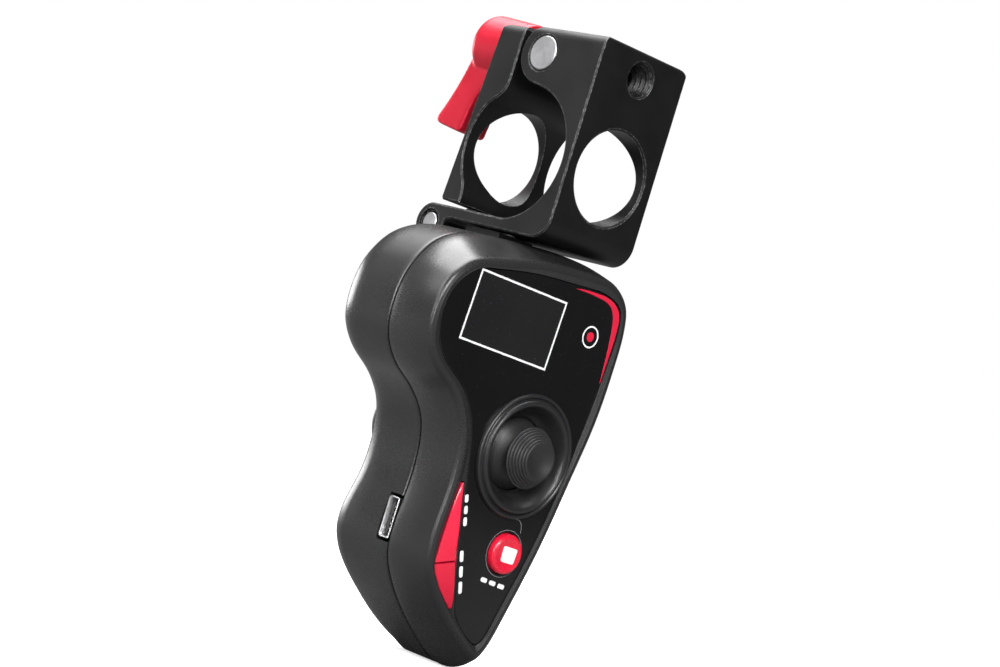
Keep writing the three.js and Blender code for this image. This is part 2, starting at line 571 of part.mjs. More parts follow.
const onStickAxis = (radius, a, b, sides) => rod(
  'x', radius, STICK.x + a, STICK.x + b, STICK.pivotY, STICK.z, sides);
piece('stick_gimbal', cut(
  join(onStickAxis(2.9, -3.3, 3.3, 20), onStickAxis(1.0, -7.8, 7.8, 12)),
  around(-2.2, 2.2, -10, -2, -2.2, 2.2),
), 'blackPlastic');
piece('stick_sensor_side', around(8.3, 11.1, -7.4, 0.6, -4.5, 4.5), 'blackPlastic');
piece('stick_sensor_lower', around(-4.5, 4.0, -7.4, 0.6, -11.1, -8.3), 'blackPlastic');
piece('stick_spring', cut(
  through(3.0, STICK, -2.7, -0.3, 20), through(2.3, STICK, -4, 0.4, 20)), 'steel');

// ---------------------------------------------------------------- trigger
function trigger() {
  const shape = new THREE.Shape();
  shape.moveTo(TRIGGER.pivotY - 1.6, TRIGGER.pivotZ + 0.6);
  shape.lineTo(TRIGGER.pivotY + 1.6, TRIGGER.pivotZ + 0.6);
  shape.lineTo(10.4, -47.0);
  shape.lineTo(13.4, -47.4);
  shape.bezierCurveTo(17.4, -48.6, 19.2, -52, 17.6, -55.6);
  shape.bezierCurveTo(16.8, -57.6, 15.2, -58.8, 12.8, -59.2);
  shape.lineTo(8.6, -59.2);
  shape.lineTo(8.0, -57.8);
  shape.closePath();
  return cut(
    slab('x', shape, TRIGGER.x - TRIGGER.halfWidth, TRIGGER.x + TRIGGER.halfWidth),
    rod('x', 1.0 + GAP, TRIGGER.x - 9, TRIGGER.x + 9, TRIGGER.pivotY, TRIGGER.pivotZ, 16),
  );
}
piece('trigger', trigger(), 'rubber');
const pinReach = TRIGGER.halfWidth + 2.4;
piece('trigger_pin', rod(
  'x', 1.0, TRIGGER.x - pinReach, TRIGGER.x + pinReach, TRIGGER.pivotY, TRIGGER.pivotZ, 12), 'steel');
piece('trigger_spring', cut(
  rod('y', 1.6, 2.9, 6.2, TRIGGER.x, -50.6, 16), rod('y', 1.1, 2.5, 8, TRIGGER.x, -50.6, 16)), 'steel');

// ---------------------------------------------------------------- electronics
function board() {
  const outline = inset(smoothOutline(BODY_OUTLINE, OUTLINE_STEPS), WALL + 1.0);
  const sheet = slab('y', new THREE.Shape(outline), BOARD.front, BOARD.back);
  return cut(
    sheet.intersect(box(-FAR, FAR, 0, 5, -88, -24.6)),
    ...post(2.7 + GAP, 0, 5),
  );
}
piece('main_board', board(), 'circuit');
const block = ({ x0, x1, y0, y1, z0, z1 }) => box(x0, x1, y0, y1, z0, z1);
piece('battery', block(BATTERY), 'battery');
piece('radio_module', block(RADIO), 'circuit');

const switchTop = BOARD.front - GAP;
const keySwitch = ([x, z]) => join(
  box(x - SWITCH.half, x + SWITCH.half, switchTop - SWITCH.height, switchTop, z - SWITCH.half, z + SWITCH.half),
  rod('y', SWITCH.stemRadius, SWITCH.stemEnd, switchTop - 1, x, z, 12));
piece('power_switch', keySwitch([POWER.x, POWER.z]), 'blackPlastic');
piece('upper_key_switch', keySwitch(KEY_SWITCHES.upper), 'blackPlastic');
piece('lower_key_switch', keySwitch(KEY_SWITCHES.lower), 'blackPlastic');
piece('trigger_switch', box(
  TRIGGER.x - 2.5, TRIGGER.x + 2.5, BOARD.back + GAP, 5.4, -58, -54.5), 'blackPlastic');

const usbShellWall = 0.35;
const usbHalf = USB.length / 2;
piece('usb_socket', cut(
  box(-16.2, -11.2, USB.y - USB.height / 2, USB.y + USB.height / 2, USB.z - usbHalf, USB.z + usbHalf),
  box(-17, -11.8, USB.y - USB.height / 2 + usbShellWall, USB.y + USB.height / 2 - usbShellWall,
    USB.z - usbHalf + usbShellWall, USB.z + usbHalf - usbShellWall),
), 'steel');

export default model;
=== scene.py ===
"""Looks of the thumb controller on a hinged tube clamp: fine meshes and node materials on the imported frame.

Lengths in the outlines and profiles are millimetres, in the row frame: X along the tube, -Y the front, +Z up.
"""

import math

import bmesh
import bpy
import numpy as np
from mathutils import Matrix, Vector


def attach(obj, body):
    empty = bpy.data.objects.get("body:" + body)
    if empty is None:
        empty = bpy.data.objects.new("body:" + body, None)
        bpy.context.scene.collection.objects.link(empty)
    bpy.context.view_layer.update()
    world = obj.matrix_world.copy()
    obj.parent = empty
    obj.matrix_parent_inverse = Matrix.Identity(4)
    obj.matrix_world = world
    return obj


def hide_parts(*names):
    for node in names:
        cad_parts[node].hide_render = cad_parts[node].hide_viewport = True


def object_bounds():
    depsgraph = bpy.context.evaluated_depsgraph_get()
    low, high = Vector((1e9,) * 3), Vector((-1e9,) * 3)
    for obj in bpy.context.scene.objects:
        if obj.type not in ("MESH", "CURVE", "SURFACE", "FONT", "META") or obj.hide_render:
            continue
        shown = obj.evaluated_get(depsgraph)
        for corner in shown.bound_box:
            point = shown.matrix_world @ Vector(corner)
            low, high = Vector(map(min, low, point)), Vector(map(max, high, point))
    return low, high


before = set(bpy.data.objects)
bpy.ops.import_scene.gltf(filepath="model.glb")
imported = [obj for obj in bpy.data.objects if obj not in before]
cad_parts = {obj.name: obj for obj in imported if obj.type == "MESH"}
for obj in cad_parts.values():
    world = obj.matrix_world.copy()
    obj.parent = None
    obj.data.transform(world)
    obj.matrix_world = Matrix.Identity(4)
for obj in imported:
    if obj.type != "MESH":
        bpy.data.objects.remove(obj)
cad_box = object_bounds()
MM = 0.001


# ---- driving sizes, as in the solids
TUBE_RADIUS = 12.5
CLAMP_HALF_DEPTH = 11.35
CLAMP_FRONT_Y = -14.5
CLAMP_TOP_Z = 23.6
JAW_TOP_Z = 23.1
TOP_EDGE_RADIUS = 2.0
EDGE_CHAMFER = 0.26
CROSS_HOLE_RADIUS = 8.75
TRIPOD_RADIUS, TRIPOD_DEPTH = 3.1, 6.2
SCREW_HEIGHT = 18.55
JAW_FACE_TOP, JAW_FACE_BOTTOM = (12.4, 22.3), (14.75, -10.9)
WASHER_START, WASHER_END, WASHER_RADIUS, WASHER_HOLE = 12.95, 13.75, 5.0, 2.75
LEVER_START, LEVER_END, HUB_RADIUS, WING_HALF, WING_TIP = 14.05, 26.0, 6.0, 3.4, 0.85
CLAMP_SCREW_RADIUS, CLAMP_SCREW_PITCH, CLAMP_SCREW_START, CLAMP_SCREW_END = 2.4, 0.8, -5.5, 22.5
BARREL_NUT_RADIUS = 3.2
HINGE_Y, HINGE_Z, HINGE_PIN_RADIUS, EAR_RADIUS, KNUCKLE_HALF = 16.0, -15.9, 1.75, 3.6, 4.2
GAP = 0.3
RIM_Y, PANEL_Y, PANEL_BACK_Y, SEAM_Y = -14.95, -14.5, -13.5, -4.0
WALL = 1.8
TONGUE_Y = SEAM_Y - 1.0  # the rear shell's lip reaches this far into the front shell
BACK_CORNER_RADIUS = 6.8
STICK_X, STICK_Z, STICK_PIVOT_Y, STICK_OPENING_RADIUS = -0.45, -52.1, -6.0, 10.45
POWER_X, POWER_Z, POWER_RADIUS = 2.0, -69.8, 3.7
POWER_OPENING_RADIUS = POWER_RADIUS + 0.14
USB_Y, USB_Z = -2.35, -69.3
USB_HALF_DEPTH, USB_HALF_HEIGHT = 1.25, 3.7
KEY_BASE_Y, KEY_CLEARANCE = -12.2, 0.26
DISPLAY_OPENING = (-24.2, -1.4, -16, -11, -36.2, -22.8)  # from and to along X, Y and Z
BRACKET_OPENING = (-9.7, -0.3, -1.3, 8.3, -20.2, -13)
TRIGGER_X, TRIGGER_HALF, TRIGGER_PIVOT, TRIGGER_CLEARANCE = -2.5, 6.3, (8.2, -44.5), 0.35
SHELL_SCREWS = [(-19, -41), (11, -25.6), (8.4, -63.6), (4.6, -84.2)]

FACE_OUTLINE = [
    (-25.5, -21.6), (-19.4, -20.2), (-9.8, -18.2), (1.2, -17.4), (9.2, -17.5), (13.9, -20.6), (15.4, -25.5),
    (15.6, -32), (15.1, -42.5), (13.0, -54.5), (10.7, -67), (7.0, -80.3), (4.4, -87.6), (2.2, -89.6),
    (-0.6, -88.3), (-6.4, -84.6), (-11.9, -80), (-15.4, -75.9), (-16.5, -70), (-15.9, -59.5), (-17.1, -51.4),
    (-21.5, -45.1), (-27.3, -41.7), (-30.7, -38), (-31.9, -33.2), (-31.2, -28), (-29.1, -24.4),
]
BODY_OUTLINE = [
    (-26.2, -19.9), (-20.6, -17.2), (-9.6, -15.9), (1.4, -15.3), (8.0, -16.0), (14.2, -19.6), (16.1, -25.3),
    (16.4, -32), (15.9, -42.5), (14.1, -54.5), (12.2, -67), (9.9, -80.5), (8.2, -89.2), (5.2, -92.8),
    (1.0, -91.4), (-6.0, -86.6), (-12.4, -80.6), (-15.9, -75.2), (-16.4, -70), (-15.6, -60.5), (-17.2, -51.4),
    (-21.6, -46.4), (-27.6, -42.6), (-31.1, -38.2), (-32.0, -32.8), (-31.3, -27.6), (-29.4, -23.6),
]
PANEL_OUTLINE = [
    (-24.4, -23.1), (-19.6, -22.0), (-10.5, -20.6), (0, -20.0), (8.2, -19.9), (12.2, -21.6), (13.4, -25.4),
    (13.3, -32), (12.4, -42.5), (10.9, -54.5), (8.5, -67), (5.0, -79.5), (2.7, -86.2), (1.2, -86.9),
    (-5.0, -82.8), (-6.4, -79.6), (-9.2, -70.5), (-12.3, -58.8), (-15.3, -49.0), (-19.6, -43.7),
    (-25.6, -40.1), (-28.9, -36.2), (-29.7, -31.8), (-28.8, -27.4),
]
SPINE = np.array([(-8, -33), (-1.5, -52), (1, -76)], float)  # middle of the grip, from top to bottom
# How far back the handset reaches, as (z, y).
BACK_DEPTH = [
    (-15, 12.2), (-38, 12.0), (-52, 12.5), (-64, 13.2), (-69, 14.6), (-79, 14.6), (-87, 12.6), (-94, 9),
]


# ---- outlines
def catmull_rom(points, per_segment):
    """A closed centripetal curve through the points, with per_segment samples from each to the next."""
    p = np.array(points, float)
    samples = []
    for i in range(len(p)):
        p0, p1, p2, p3 = p[i - 1], p[i], p[(i + 1) % len(p)], p[(i + 2) % len(p)]
        d0, d1, d2 = (math.sqrt(np.linalg.norm(b - a)) for a, b in ((p0, p1), (p1, p2), (p2, p3)))
        t1 = ((p1 - p0) / d0 - (p2 - p0) / (d0 + d1) + (p2 - p1) / d1) * d1
        t2 = ((p2 - p1) / d1 - (p3 - p1) / (d1 + d2) + (p3 - p2) / d2) * d1
        square, cube = 3 * (p2 - p1) - 2 * t1 - t2, 2 * (p1 - p2) + t1 + t2
        for k in range(per_segment):
            t = k / per_segment
            samples.append(p1 + t1 * t + square * t**2 + cube * t**3)
    return np.array(samples)


def soften(ring, sigma):
    """A closed ring of points with its small wobbles averaged out over sigma samples."""
    reach = int(3 * sigma) + 1
    offsets = np.arange(-reach, reach + 1)
    weights = np.exp(-0.5 * (offsets / sigma) ** 2)
    weights /= weights.sum()
    return sum(w * np.roll(ring, -k, axis=0) for k, w in zip(offsets, weights))


def smooth_outline(points, per_segment=20, sigma=4.0):
    return soften(catmull_rom(points, per_segment), sigma)


def nearest_on_spine(points):
    """For each point the nearest one on the spine."""
    best, best_distance = None, None
    for a, b in zip(SPINE[:-1], SPINE[1:]):
        t = np.clip(((points - a) @ (b - a)) / ((b - a) @ (b - a)), 0, 1)
        q = a + t[:, None] * (b - a)
        distance = np.linalg.norm(points - q, axis=1)
        if best is None:
            best, best_distance = q, distance
        else:
            nearer = distance < best_distance
            best = np.where(nearer[:, None], q, best)
            best_distance = np.where(nearer, distance, best_distance)
    return best


def normals_of(ring):
    """Inward normals of a clockwise closed ring."""
    tangent = np.roll(ring, -1, axis=0) - np.roll(ring, 1, axis=0)
    tangent /= np.linalg.norm(tangent, axis=1)[:, None]
    return np.stack([tangent[:, 1], -tangent[:, 0]], axis=1)


NORMAL_INSET = 2.5


def inset(ring, distance):
    """The ring moved inwards: first along its normals, past NORMAL_INSET towards the middle of the grip."""
    along = min(distance, NORMAL_INSET)
    moved = ring + normals_of(ring) * along
    if distance > NORMAL_INSET:
        inwards = nearest_on_spine(ring) - moved
        inwards /= np.maximum(np.linalg.norm(inwards, axis=1)[:, None], 1e-6)
        moved = moved + soften(inwards, 5) * (distance - along)
        moved = soften(moved, 3)
    return moved


def depth_of_back(z):
    """The depth of the back at each height, eased from one entry of BACK_DEPTH to the next."""
    z = np.asarray(z, float)
    depth = np.full(z.shape, BACK_DEPTH[0][1], float)
    for (high, y_high), (low, y_low) in zip(BACK_DEPTH[:-1], BACK_DEPTH[1:]):
        t = np.clip((high - z) / (high - low), 0, 1)
        depth += (y_low - y_high) * t * t * (3 - 2 * t)
    return depth


def polygon_area(points):
    p = np.asarray(points, float)
    return 0.5 * np.sum(p[:, 0] * np.roll(p[:, 1], -1) - np.roll(p[:, 0], -1) * p[:, 1])


def counterclockwise(points):
    p = np.asarray(points, float)
    return p[::-1] if polygon_area(p) < 0 else p


# ---- mesh code
def new_object(name, mesh):
    obj = bpy.data.objects.new(name, mesh)
    bpy.context.scene.collection.objects.link(obj)
    return obj


def mesh_of(name, verts, faces):
    mesh = bpy.data.meshes.new(name)
    mesh.from_pydata([tuple(v) for v in np.asarray(verts, float) * MM], [], faces)
    bm = bmesh.new()
    bm.from_mesh(mesh)
    bmesh.ops.recalc_face_normals(bm, faces=bm.faces)
    bm.to_mesh(mesh)
    bm.free()
    return new_object(name, mesh)


def loft(name, rings, closed_ends=True, wrap=False):
    """A skin through rings of equal length; wrap joins the last ring to the first."""
    count = len(rings[0])
    verts = np.concatenate(rings)
    faces = []
    last = len(rings) if wrap else len(rings) - 1
    for r in range(last):
        a0, b0 = r * count, ((r + 1) % len(rings)) * count
        faces += [(a0 + i, a0 + (i + 1) % count, b0 + (i + 1) % count, b0 + i) for i in range(count)]
    if closed_ends and not wrap:
        faces.append(tuple(range(count)))
        faces.append(tuple(range((len(rings) - 1) * count, len(rings) * count)))
    return mesh_of(name, verts, faces)


def turned_rings(profile, x, z, segments, axis):
    """Circles of a profile, (radius, place), about an axis along Y through (x, z), or X through (y, z)."""
    angle = np.linspace(0, 2 * math.pi, segments, endpoint=False)
    rings = []
    for r, along in profile:
        u, v = x + r * np.cos(angle), z + r * np.sin(angle)
        place = np.full(segments, float(along))
        rings.append(np.stack([u, place, v] if axis == "y" else [place, u, v], axis=1))
    return rings


def lathe(name, profile, x, z, segments=96, axis="y"):
    """A solid turned body, whose profile starts and ends on the axis or in a flat end."""
    obj = loft(name, turned_rings(profile, x, z, segments, axis))
    weld(obj)
    return obj


def hollow_lathe(name, profile, x, z, segments=96):
    """A turned ring about an axis along Y, whose profile closes on itself."""
    return loft(name, turned_rings(profile, x, z, segments, "y"), wrap=True)


def weld(obj, distance=1e-6):
    bm = bmesh.new()
    bm.from_mesh(obj.data)
    bmesh.ops.remove_doubles(bm, verts=bm.verts, dist=distance)
    bmesh.ops.dissolve_degenerate(bm, edges=bm.edges, dist=distance)
    bmesh.ops.recalc_face_normals(bm, faces=bm.faces)
    bm.to_mesh(obj.data)
    bm.free()


def offset_polygon(points, distance):
    """A counterclockwise polygon moved inwards by a distance, with mitred corners."""
    p = np.asarray(points, float)
    before, after = np.roll(p, 1, axis=0), np.roll(p, -1, axis=0)
    d0 = (p - before) / np.linalg.norm(p - before, axis=1)[:, None]
    d1 = (after - p) / np.linalg.norm(after - p, axis=1)[:, None]
    n0, n1 = np.stack([-d0[:, 1], d0[:, 0]], 1), np.stack([-d1[:, 1], d1[:, 0]], 1)
    bisector = n0 + n1
    scale = np.clip(2 / np.maximum((bisector**2).sum(1), 0.35), 0, 2.2)
    return p + bisector * (scale * distance)[:, None]


def prism(name, outline, axis, a, b, edge=((0.0, 0.0),)):
    """An outline pushed along X, as (y, z), or Y, as (x, z). edge: (inset, depth) pairs of both rims."""
    outline = counterclockwise(outline)
    levels = [(a + depth, offset_polygon(outline, d)) for d, depth in edge]
    levels += [(b - depth, offset_polygon(outline, d)) for d, depth in reversed(edge)]
    rings = []
    for place, ring in levels:
        along, u, v = np.full(len(ring), place), ring[:, 0], ring[:, 1]
        rings.append(np.stack([along, u, v] if axis == "x" else [u, along, v], 1))
    return loft(name, rings)


def rounded(radius, steps=4):
    """Rim of a prism with a round of that radius: (inset, depth) pairs from the end face to the side."""
    turns = [i / steps * math.pi / 2 for i in range(steps + 1)]
    return tuple((radius * (1 - math.sin(t)), radius * (1 - math.cos(t))) for t in turns)


def chamfered(width):
    """Rim of a prism with a plain chamfer, as rounded() gives it for a round."""
    return ((width, 0.0), (0.0, width))


def block(name, x0, x1, y0, y1, z0, z1, round_by=0.0):
    """A box, with its edges rounded if asked."""
    outline = [(y0, z0), (y1, z0), (y1, z1), (y0, z1)]
    if round_by:
        outline = round_corners(outline, round_by)
    return prism(name, outline, "x", x0, x1, rounded(round_by * 0.6) if round_by else ((0.0, 0.0),))


def round_corners(points, radius, steps=5):
    """A polygon with each corner replaced by an arc that starts radius before it."""
    p = np.asarray(points, float)
    out = []
    for before, corner, after in zip(np.roll(p, 1, axis=0), p, np.roll(p, -1, axis=0)):
        to_before = (before - corner) / np.linalg.norm(before - corner)
        to_after = (after - corner) / np.linalg.norm(after - corner)
        start, end = corner + to_before * radius, corner + to_after * radius
        for k in range(steps + 1):
            t = k / steps
            out.append((1 - t) ** 2 * start + 2 * t * (1 - t) * corner + t**2 * end)
    return np.array(out)


def arc(cx, cy, radius, start, end, steps):
    """Points of an arc in degrees, both ends included."""
    turn = np.radians(np.linspace(start, end, steps + 1))
    return [(cx + radius * math.cos(t), cy + radius * math.sin(t)) for t in turn]


def bezier(p0, p1, p2, p3, steps):
    """Points of a cubic curve after its start."""
    return [
        tuple(
            (1 - t) ** 3 * np.array(p0) + 3 * t * (1 - t) ** 2 * np.array(p1)
            + 3 * t * t * (1 - t) * np.array(p2) + t**3 * np.array(p3)
        )
        for t in np.linspace(0, 1, steps + 1)[1:]
    ]


def quadratic(p0, p1, p2, steps):
    """Points of a quadratic curve after its start."""
    return [
        tuple((1 - t) ** 2 * np.array(p0) + 2 * t * (1 - t) * np.array(p1) + t * t * np.array(p2))
        for t in np.linspace(0, 1, steps + 1)[1:]
    ]


def bake_modifiers(obj):
    """Replaces the object's mesh with what its modifiers make of it."""
    graph = bpy.context.evaluated_depsgraph_get()
    mesh = bpy.data.meshes.new_from_object(obj.evaluated_get(graph))
    obj.modifiers.clear()
    obj.data = mesh


def boolean(obj, tools, operation="DIFFERENCE"):
    for tool in tools:
        step = obj.modifiers.new("boolean", "BOOLEAN")
        step.operation, step.object, step.solver = operation, tool, "MANIFOLD"
        bake_modifiers(obj)
    for tool in tools:
        bpy.data.objects.remove(tool)
    return obj


def bore(name, radius, a, b, u, v, axis="y", flare=0.0, flare_at=None, segments=128):
    """A cutter along one axis; flare widens it to a chamfer at flare_at, the face where it comes out."""
    profile = [(radius, a), (radius, b)]
    if flare:
        side = 1 if flare_at < (a + b) / 2 else -1
        wide = radius + flare
        steps = [(radius, flare_at + side * flare), (wide, flare_at), (wide + 1, flare_at - side)]
        profile = [(radius, b if side > 0 else a), *steps]
    return lathe(name, profile, u, v, segments, axis)


def smooth(obj, degrees=32):
    obj.data.polygons.foreach_set("use_smooth", [True] * len(obj.data.polygons))
    obj.data.set_sharp_from_angle(angle=math.radians(degrees))
    return obj


def piece(obj, surface, body, slot, *nodes, degrees=32):
    """Finishes a mesh as a piece of the object."""
    smooth(obj, degrees)
    obj.data.materials.clear()
    obj.data.materials.append(surface)
    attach(obj, body)
    if nodes:
        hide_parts(*nodes)
    return obj


# ---- materials
class Nodes:
    """A small builder for node materials."""

    def __init__(self, name):
        self.material = bpy.data.materials.new(name)
        self.material.use_nodes = True
        self.tree = self.material.node_tree
        self.tree.nodes.clear()
        self.place = self.add("ShaderNodeTexCoord").outputs["Object"]

    def add(self, kind, inputs=None, **settings):
        node = self.tree.nodes.new(kind)
        for key, value in settings.items():
            setattr(node, key, value)
        for key, value in (inputs or {}).items():
            if isinstance(value, bpy.types.NodeSocket):
                self.tree.links.new(value, node.inputs[key])
            else:
                node.inputs[key].default_value = value
        return node

    def noise(self, size, detail=4.0, rough=0.55, distortion=0.0, stretch=None):
        """Noise with features of about that size in mm."""
        at = self.place
        if stretch:
            at = self.add("ShaderNodeMapping", {"Vector": at, "Scale": stretch}).outputs[0]
        return self.add("ShaderNodeTexNoise", {
            "Vector": at, "Scale": 1 / (size * MM), "Detail": detail, "Roughness": rough,
            "Distortion": distortion,
        }).outputs[0]

    def remap(self, value, low, high, to_low, to_high, smooth=False):
        return self.add("ShaderNodeMapRange", {
            "Value": value, "From Min": low, "From Max": high, "To Min": to_low, "To Max": to_high,
        }, interpolation_type="SMOOTHSTEP" if smooth else "LINEAR").outputs[0]

    def math(self, operation, a, b=0.0):
        return self.add("ShaderNodeMath", {0: a, 1: b}, operation=operation).outputs[0]

    def mix(self, factor, a, b):
        """a where factor is 0, b where it is 1."""
        node = self.add("ShaderNodeMix", data_type="RGBA")
        for socket, value in ((node.inputs[0], factor), (node.inputs[6], a), (node.inputs[7], b)):
            if isinstance(value, bpy.types.NodeSocket):
                self.tree.links.new(value, socket)
            else:
                socket.default_value = value if not isinstance(value, tuple) else (*value[:3], 1.0)
        return node.outputs[2]

    def edges(self, radius, low=0.995, high=0.93):
        """1 on sharp edges and 0 on flat and gently curved places."""
        eased = self.add("ShaderNodeBevel", {"Radius": radius * MM}, samples=6).outputs[0]
        true = self.add("ShaderNodeNewGeometry").outputs["Normal"]
        same = self.add("ShaderNodeVectorMath", {0: eased, 1: true}, operation="DOT_PRODUCT").outputs["Value"]
        return self.remap(same, low, high, 0.0, 1.0, smooth=True)

    def bump(self, height, distance, strength=1.0, base=None):
        inputs = {"Height": height, "Distance": distance * MM, "Strength": strength}
        if base is not None:
            inputs["Normal"] = base
        return self.add("ShaderNodeBump", inputs).outputs[0]

    def shader(self, colour, roughness, normal=None, metallic=0.0, **constants):
        inputs = {"Base Color": colour, "Roughness": roughness, "Metallic": metallic}
        if isinstance(colour, tuple):
            inputs["Base Color"] = (*colour, 1.0)
        if normal is not None:
            inputs["Normal"] = normal
        node = self.add("ShaderNodeBsdfPrincipled", inputs)
        for key, value in constants.items():
            node.inputs[key.replace("_", " ")].default_value = value
        output = self.add("ShaderNodeOutputMaterial")
        self.tree.links.new(node.outputs[0], output.inputs[0])
        return self.material


def anodised(name, dark, light, wear_and_highlight_colour, roughness=0.42, wear_and_highlight_share=1.0, metallic=0.35):
    """Bead-blasted anodised aluminium: fine grain, faint clouds, and pale edges that are partly bare metal
    rubbed through and partly painted highlight.
    """
    n = Nodes(name)
    clouds = n.noise(7.0, 3)
    grain = n.noise(0.16, 2, 0.6)
    colour = n.mix(n.remap(clouds, 0.3, 0.7, 0, 1), dark, light)
    colour = n.mix(n.math("MULTIPLY", n.remap(grain, 0.35, 0.75, 0, 1), 0.25), colour, light)
    chips = n.remap(n.noise(0.55, 5, 0.7), 0.46, 0.62, 0.08, 1.0)
    # Pale edge lines: partly real wear, broken up by the chips, and partly painted highlight along the sharp
    # edges and chamfers.
    edge = n.math("MULTIPLY", n.math("MULTIPLY", n.edges(0.30), chips), wear_and_highlight_share)
    colour = n.mix(edge, colour, wear_and_highlight_colour)
    rough = n.remap(grain, 0.3, 0.7, roughness - 0.05, roughness + 0.07)
    rough = n.math("ADD", rough, n.remap(clouds, 0.3, 0.7, -0.03, 0.04))
    normal = n.bump(grain, 0.02, 0.35)
    return n.shader(colour, rough, normal, metallic, Specular_IOR_Level=0.4)


def moulded(name, dark, light, roughness=0.4, grain_size=0.28, grain_depth=0.02, strength=0.4, **constants):
    """Spark-eroded moulded plastic: fine grain, slight polish clouds from handling, paler edges."""
    n = Nodes(name)
    clouds = n.noise(11.0, 4)
    grain = n.noise(grain_size, 3, 0.65)
    fine = n.noise(grain_size * 0.4, 2, 0.5)
    colour = n.mix(n.remap(clouds, 0.3, 0.7, 0, 1), dark, light)
    edge = n.math("MULTIPLY", n.edges(0.25, 0.99, 0.9), n.remap(n.noise(1.1, 4), 0.4, 0.65, 0.2, 0.7))
    colour = n.mix(edge, colour, tuple(min(1.0, 2.6 * c) for c in light))
    rough = n.remap(grain, 0.3, 0.7, roughness - 0.04, roughness + 0.06)
    rough = n.math("ADD", rough, n.remap(clouds, 0.3, 0.7, 0.03, -0.05))
    normal = n.bump(fine, grain_depth * 0.5, strength, n.bump(grain, grain_depth, strength))
    return n.shader(colour, rough, normal, 0.0, **constants)


def glossy(name, colour_a, colour_b, roughness=0.08, scratch=0.05, **constants):
    """Polished plastic with hairline scratches, a few dust specks and slight waviness."""
    n = Nodes(name)
    hair = n.noise(0.5, 6, 0.7, 1.2, stretch=(1, 1, 9))
    waves = n.noise(16.0, 2)
    specks = n.remap(n.noise(0.35, 1, 0.4), 0.74, 0.80, 0, 1)
    colour = n.mix(n.remap(waves, 0.35, 0.65, 0, 1), colour_a, colour_b)
    colour = n.mix(n.math("MULTIPLY", specks, 0.05), colour, (0.25, 0.25, 0.26))
    rough = n.remap(hair, 0.45, 0.75, roughness, roughness + scratch)
    rough = n.math("ADD", rough, n.math("MULTIPLY", specks, 0.2))
    normal = n.bump(hair, 0.004, 0.15, n.bump(waves, 0.05, 0.25))
    return n.shader(colour, rough, normal, 0.0, **constants)


def turned_steel(name, centre, axis=1, colour=(0.60, 0.60, 0.61), roughness=0.26):
    """Machined steel with faint turning rings about centre and a few smudges."""
    n = Nodes(name)
    middle = tuple(c * MM for c in centre)
    moved = n.add("ShaderNodeVectorMath", {0: n.place, 1: middle}, operation="SUBTRACT").outputs[0]
    flat = [1.0, 1.0, 1.0]
    flat[axis] = 0.0
    across = n.add("ShaderNodeVectorMath", {0: moved, 1: tuple(flat)}, operation="MULTIPLY").outputs[0]
    radius = n.add("ShaderNodeVectorMath", {0: across}, operation="LENGTH").outputs["Value"]
    ring_pitch = 0.14 * MM
    rings = n.math("SINE", n.math("MULTIPLY", radius, 2 * math.pi / ring_pitch))
    smudge = n.noise(1.4, 5, 0.6)
    darker = tuple(c * 0.72 for c in colour)
    tone = n.mix(n.remap(smudge, 0.35, 0.7, 0, 1), colour, darker)
    rough = n.remap(smudge, 0.3, 0.7, roughness, roughness + 0.14)
    rough = n.math("ADD", rough, n.remap(rings, -1, 1, 0.0, 0.05))
    return n.shader(tone, rough, n.bump(rings, 0.006, 0.4, n.bump(n.noise(0.2, 3), 0.004, 0.3)), 1.0)


def printed(name, colour, roughness=0.35):
    """Screen-printed ink: slightly uneven cover over gloss."""
    n = Nodes(name)
    cover = n.remap(n.noise(0.22, 4, 0.6), 0.35, 0.7, 0, 1)
    tone = n.mix(cover, colour, tuple(c * 0.86 for c in colour))
    return n.shader(tone, n.remap(cover, 0, 1, roughness, roughness + 0.12), n.bump(cover, 0.004, 0.3))


# The third colour is the pale edge colour: partly bare metal and partly painted highlight.
BLACK_METAL = anodised(
    "anodised_black", (0.0040, 0.0040, 0.0044), (0.0065, 0.0065, 0.007), (0.40, 0.40, 0.41), wear_and_highlight_share=0.6)
RED_METAL = anodised(
    "anodised_red", (0.44, 0.003, 0.018), (0.52, 0.005, 0.026), (0.80, 0.30, 0.32), 0.38, 0.35, 0.35)
SHELL = moulded("shell_black", (0.014, 0.014, 0.0145), (0.019, 0.019, 0.0195), 0.30)
GLOSS = glossy("panel_gloss", (0.0035, 0.0035, 0.0040), (0.0050, 0.0050, 0.0056), 0.10)
WINDOW = glossy("display_dark", (0.0100, 0.0100, 0.0108), (0.0125, 0.0125, 0.0132), 0.16)
RED_PLASTIC = glossy("key_red", (0.60, 0.008, 0.036), (0.68, 0.012, 0.050), 0.22, 0.08, Coat_Weight=0.4)
BUTTON_RED = glossy("button_red", (0.64, 0.005, 0.026), (0.74, 0.008, 0.038), 0.25, 0.08, Coat_Weight=0.5)
RUBBER = moulded("stick_rubber", (0.012, 0.012, 0.013), (0.019, 0.019, 0.020), 0.42, 0.18, 0.03, 0.5)
RING_PLASTIC = moulded("ring_plastic", (0.010, 0.010, 0.011), (0.015, 0.015, 0.016), 0.33, 0.2, 0.012, 0.3)
INNER_PLASTIC = moulded("inner_plastic", (0.012, 0.012, 0.013), (0.02, 0.02, 0.02), 0.5, 0.4, 0.03)
CONNECTOR = turned_steel("connector_steel", (-16, USB_Y, USB_Z), 0, (0.75, 0.75, 0.76), 0.22)
WHITE_INK = printed("ink_white", (0.92, 0.92, 0.92))
RED_INK = printed("ink_red", (0.68, 0.010, 0.045))
GREY_INK = printed("ink_grey", (0.20, 0.20, 0.21))
BOARD_GREEN = moulded("board_mask", (0.008, 0.05, 0.02), (0.012, 0.075, 0.03), 0.35, 0.6, 0.02)
FOIL = turned_steel("battery_foil", (-6, 6, -31), 1, (0.55, 0.56, 0.58), 0.35)
STEEL = turned_steel("steel_plain", (0, 0, SCREW_HEIGHT), 1)


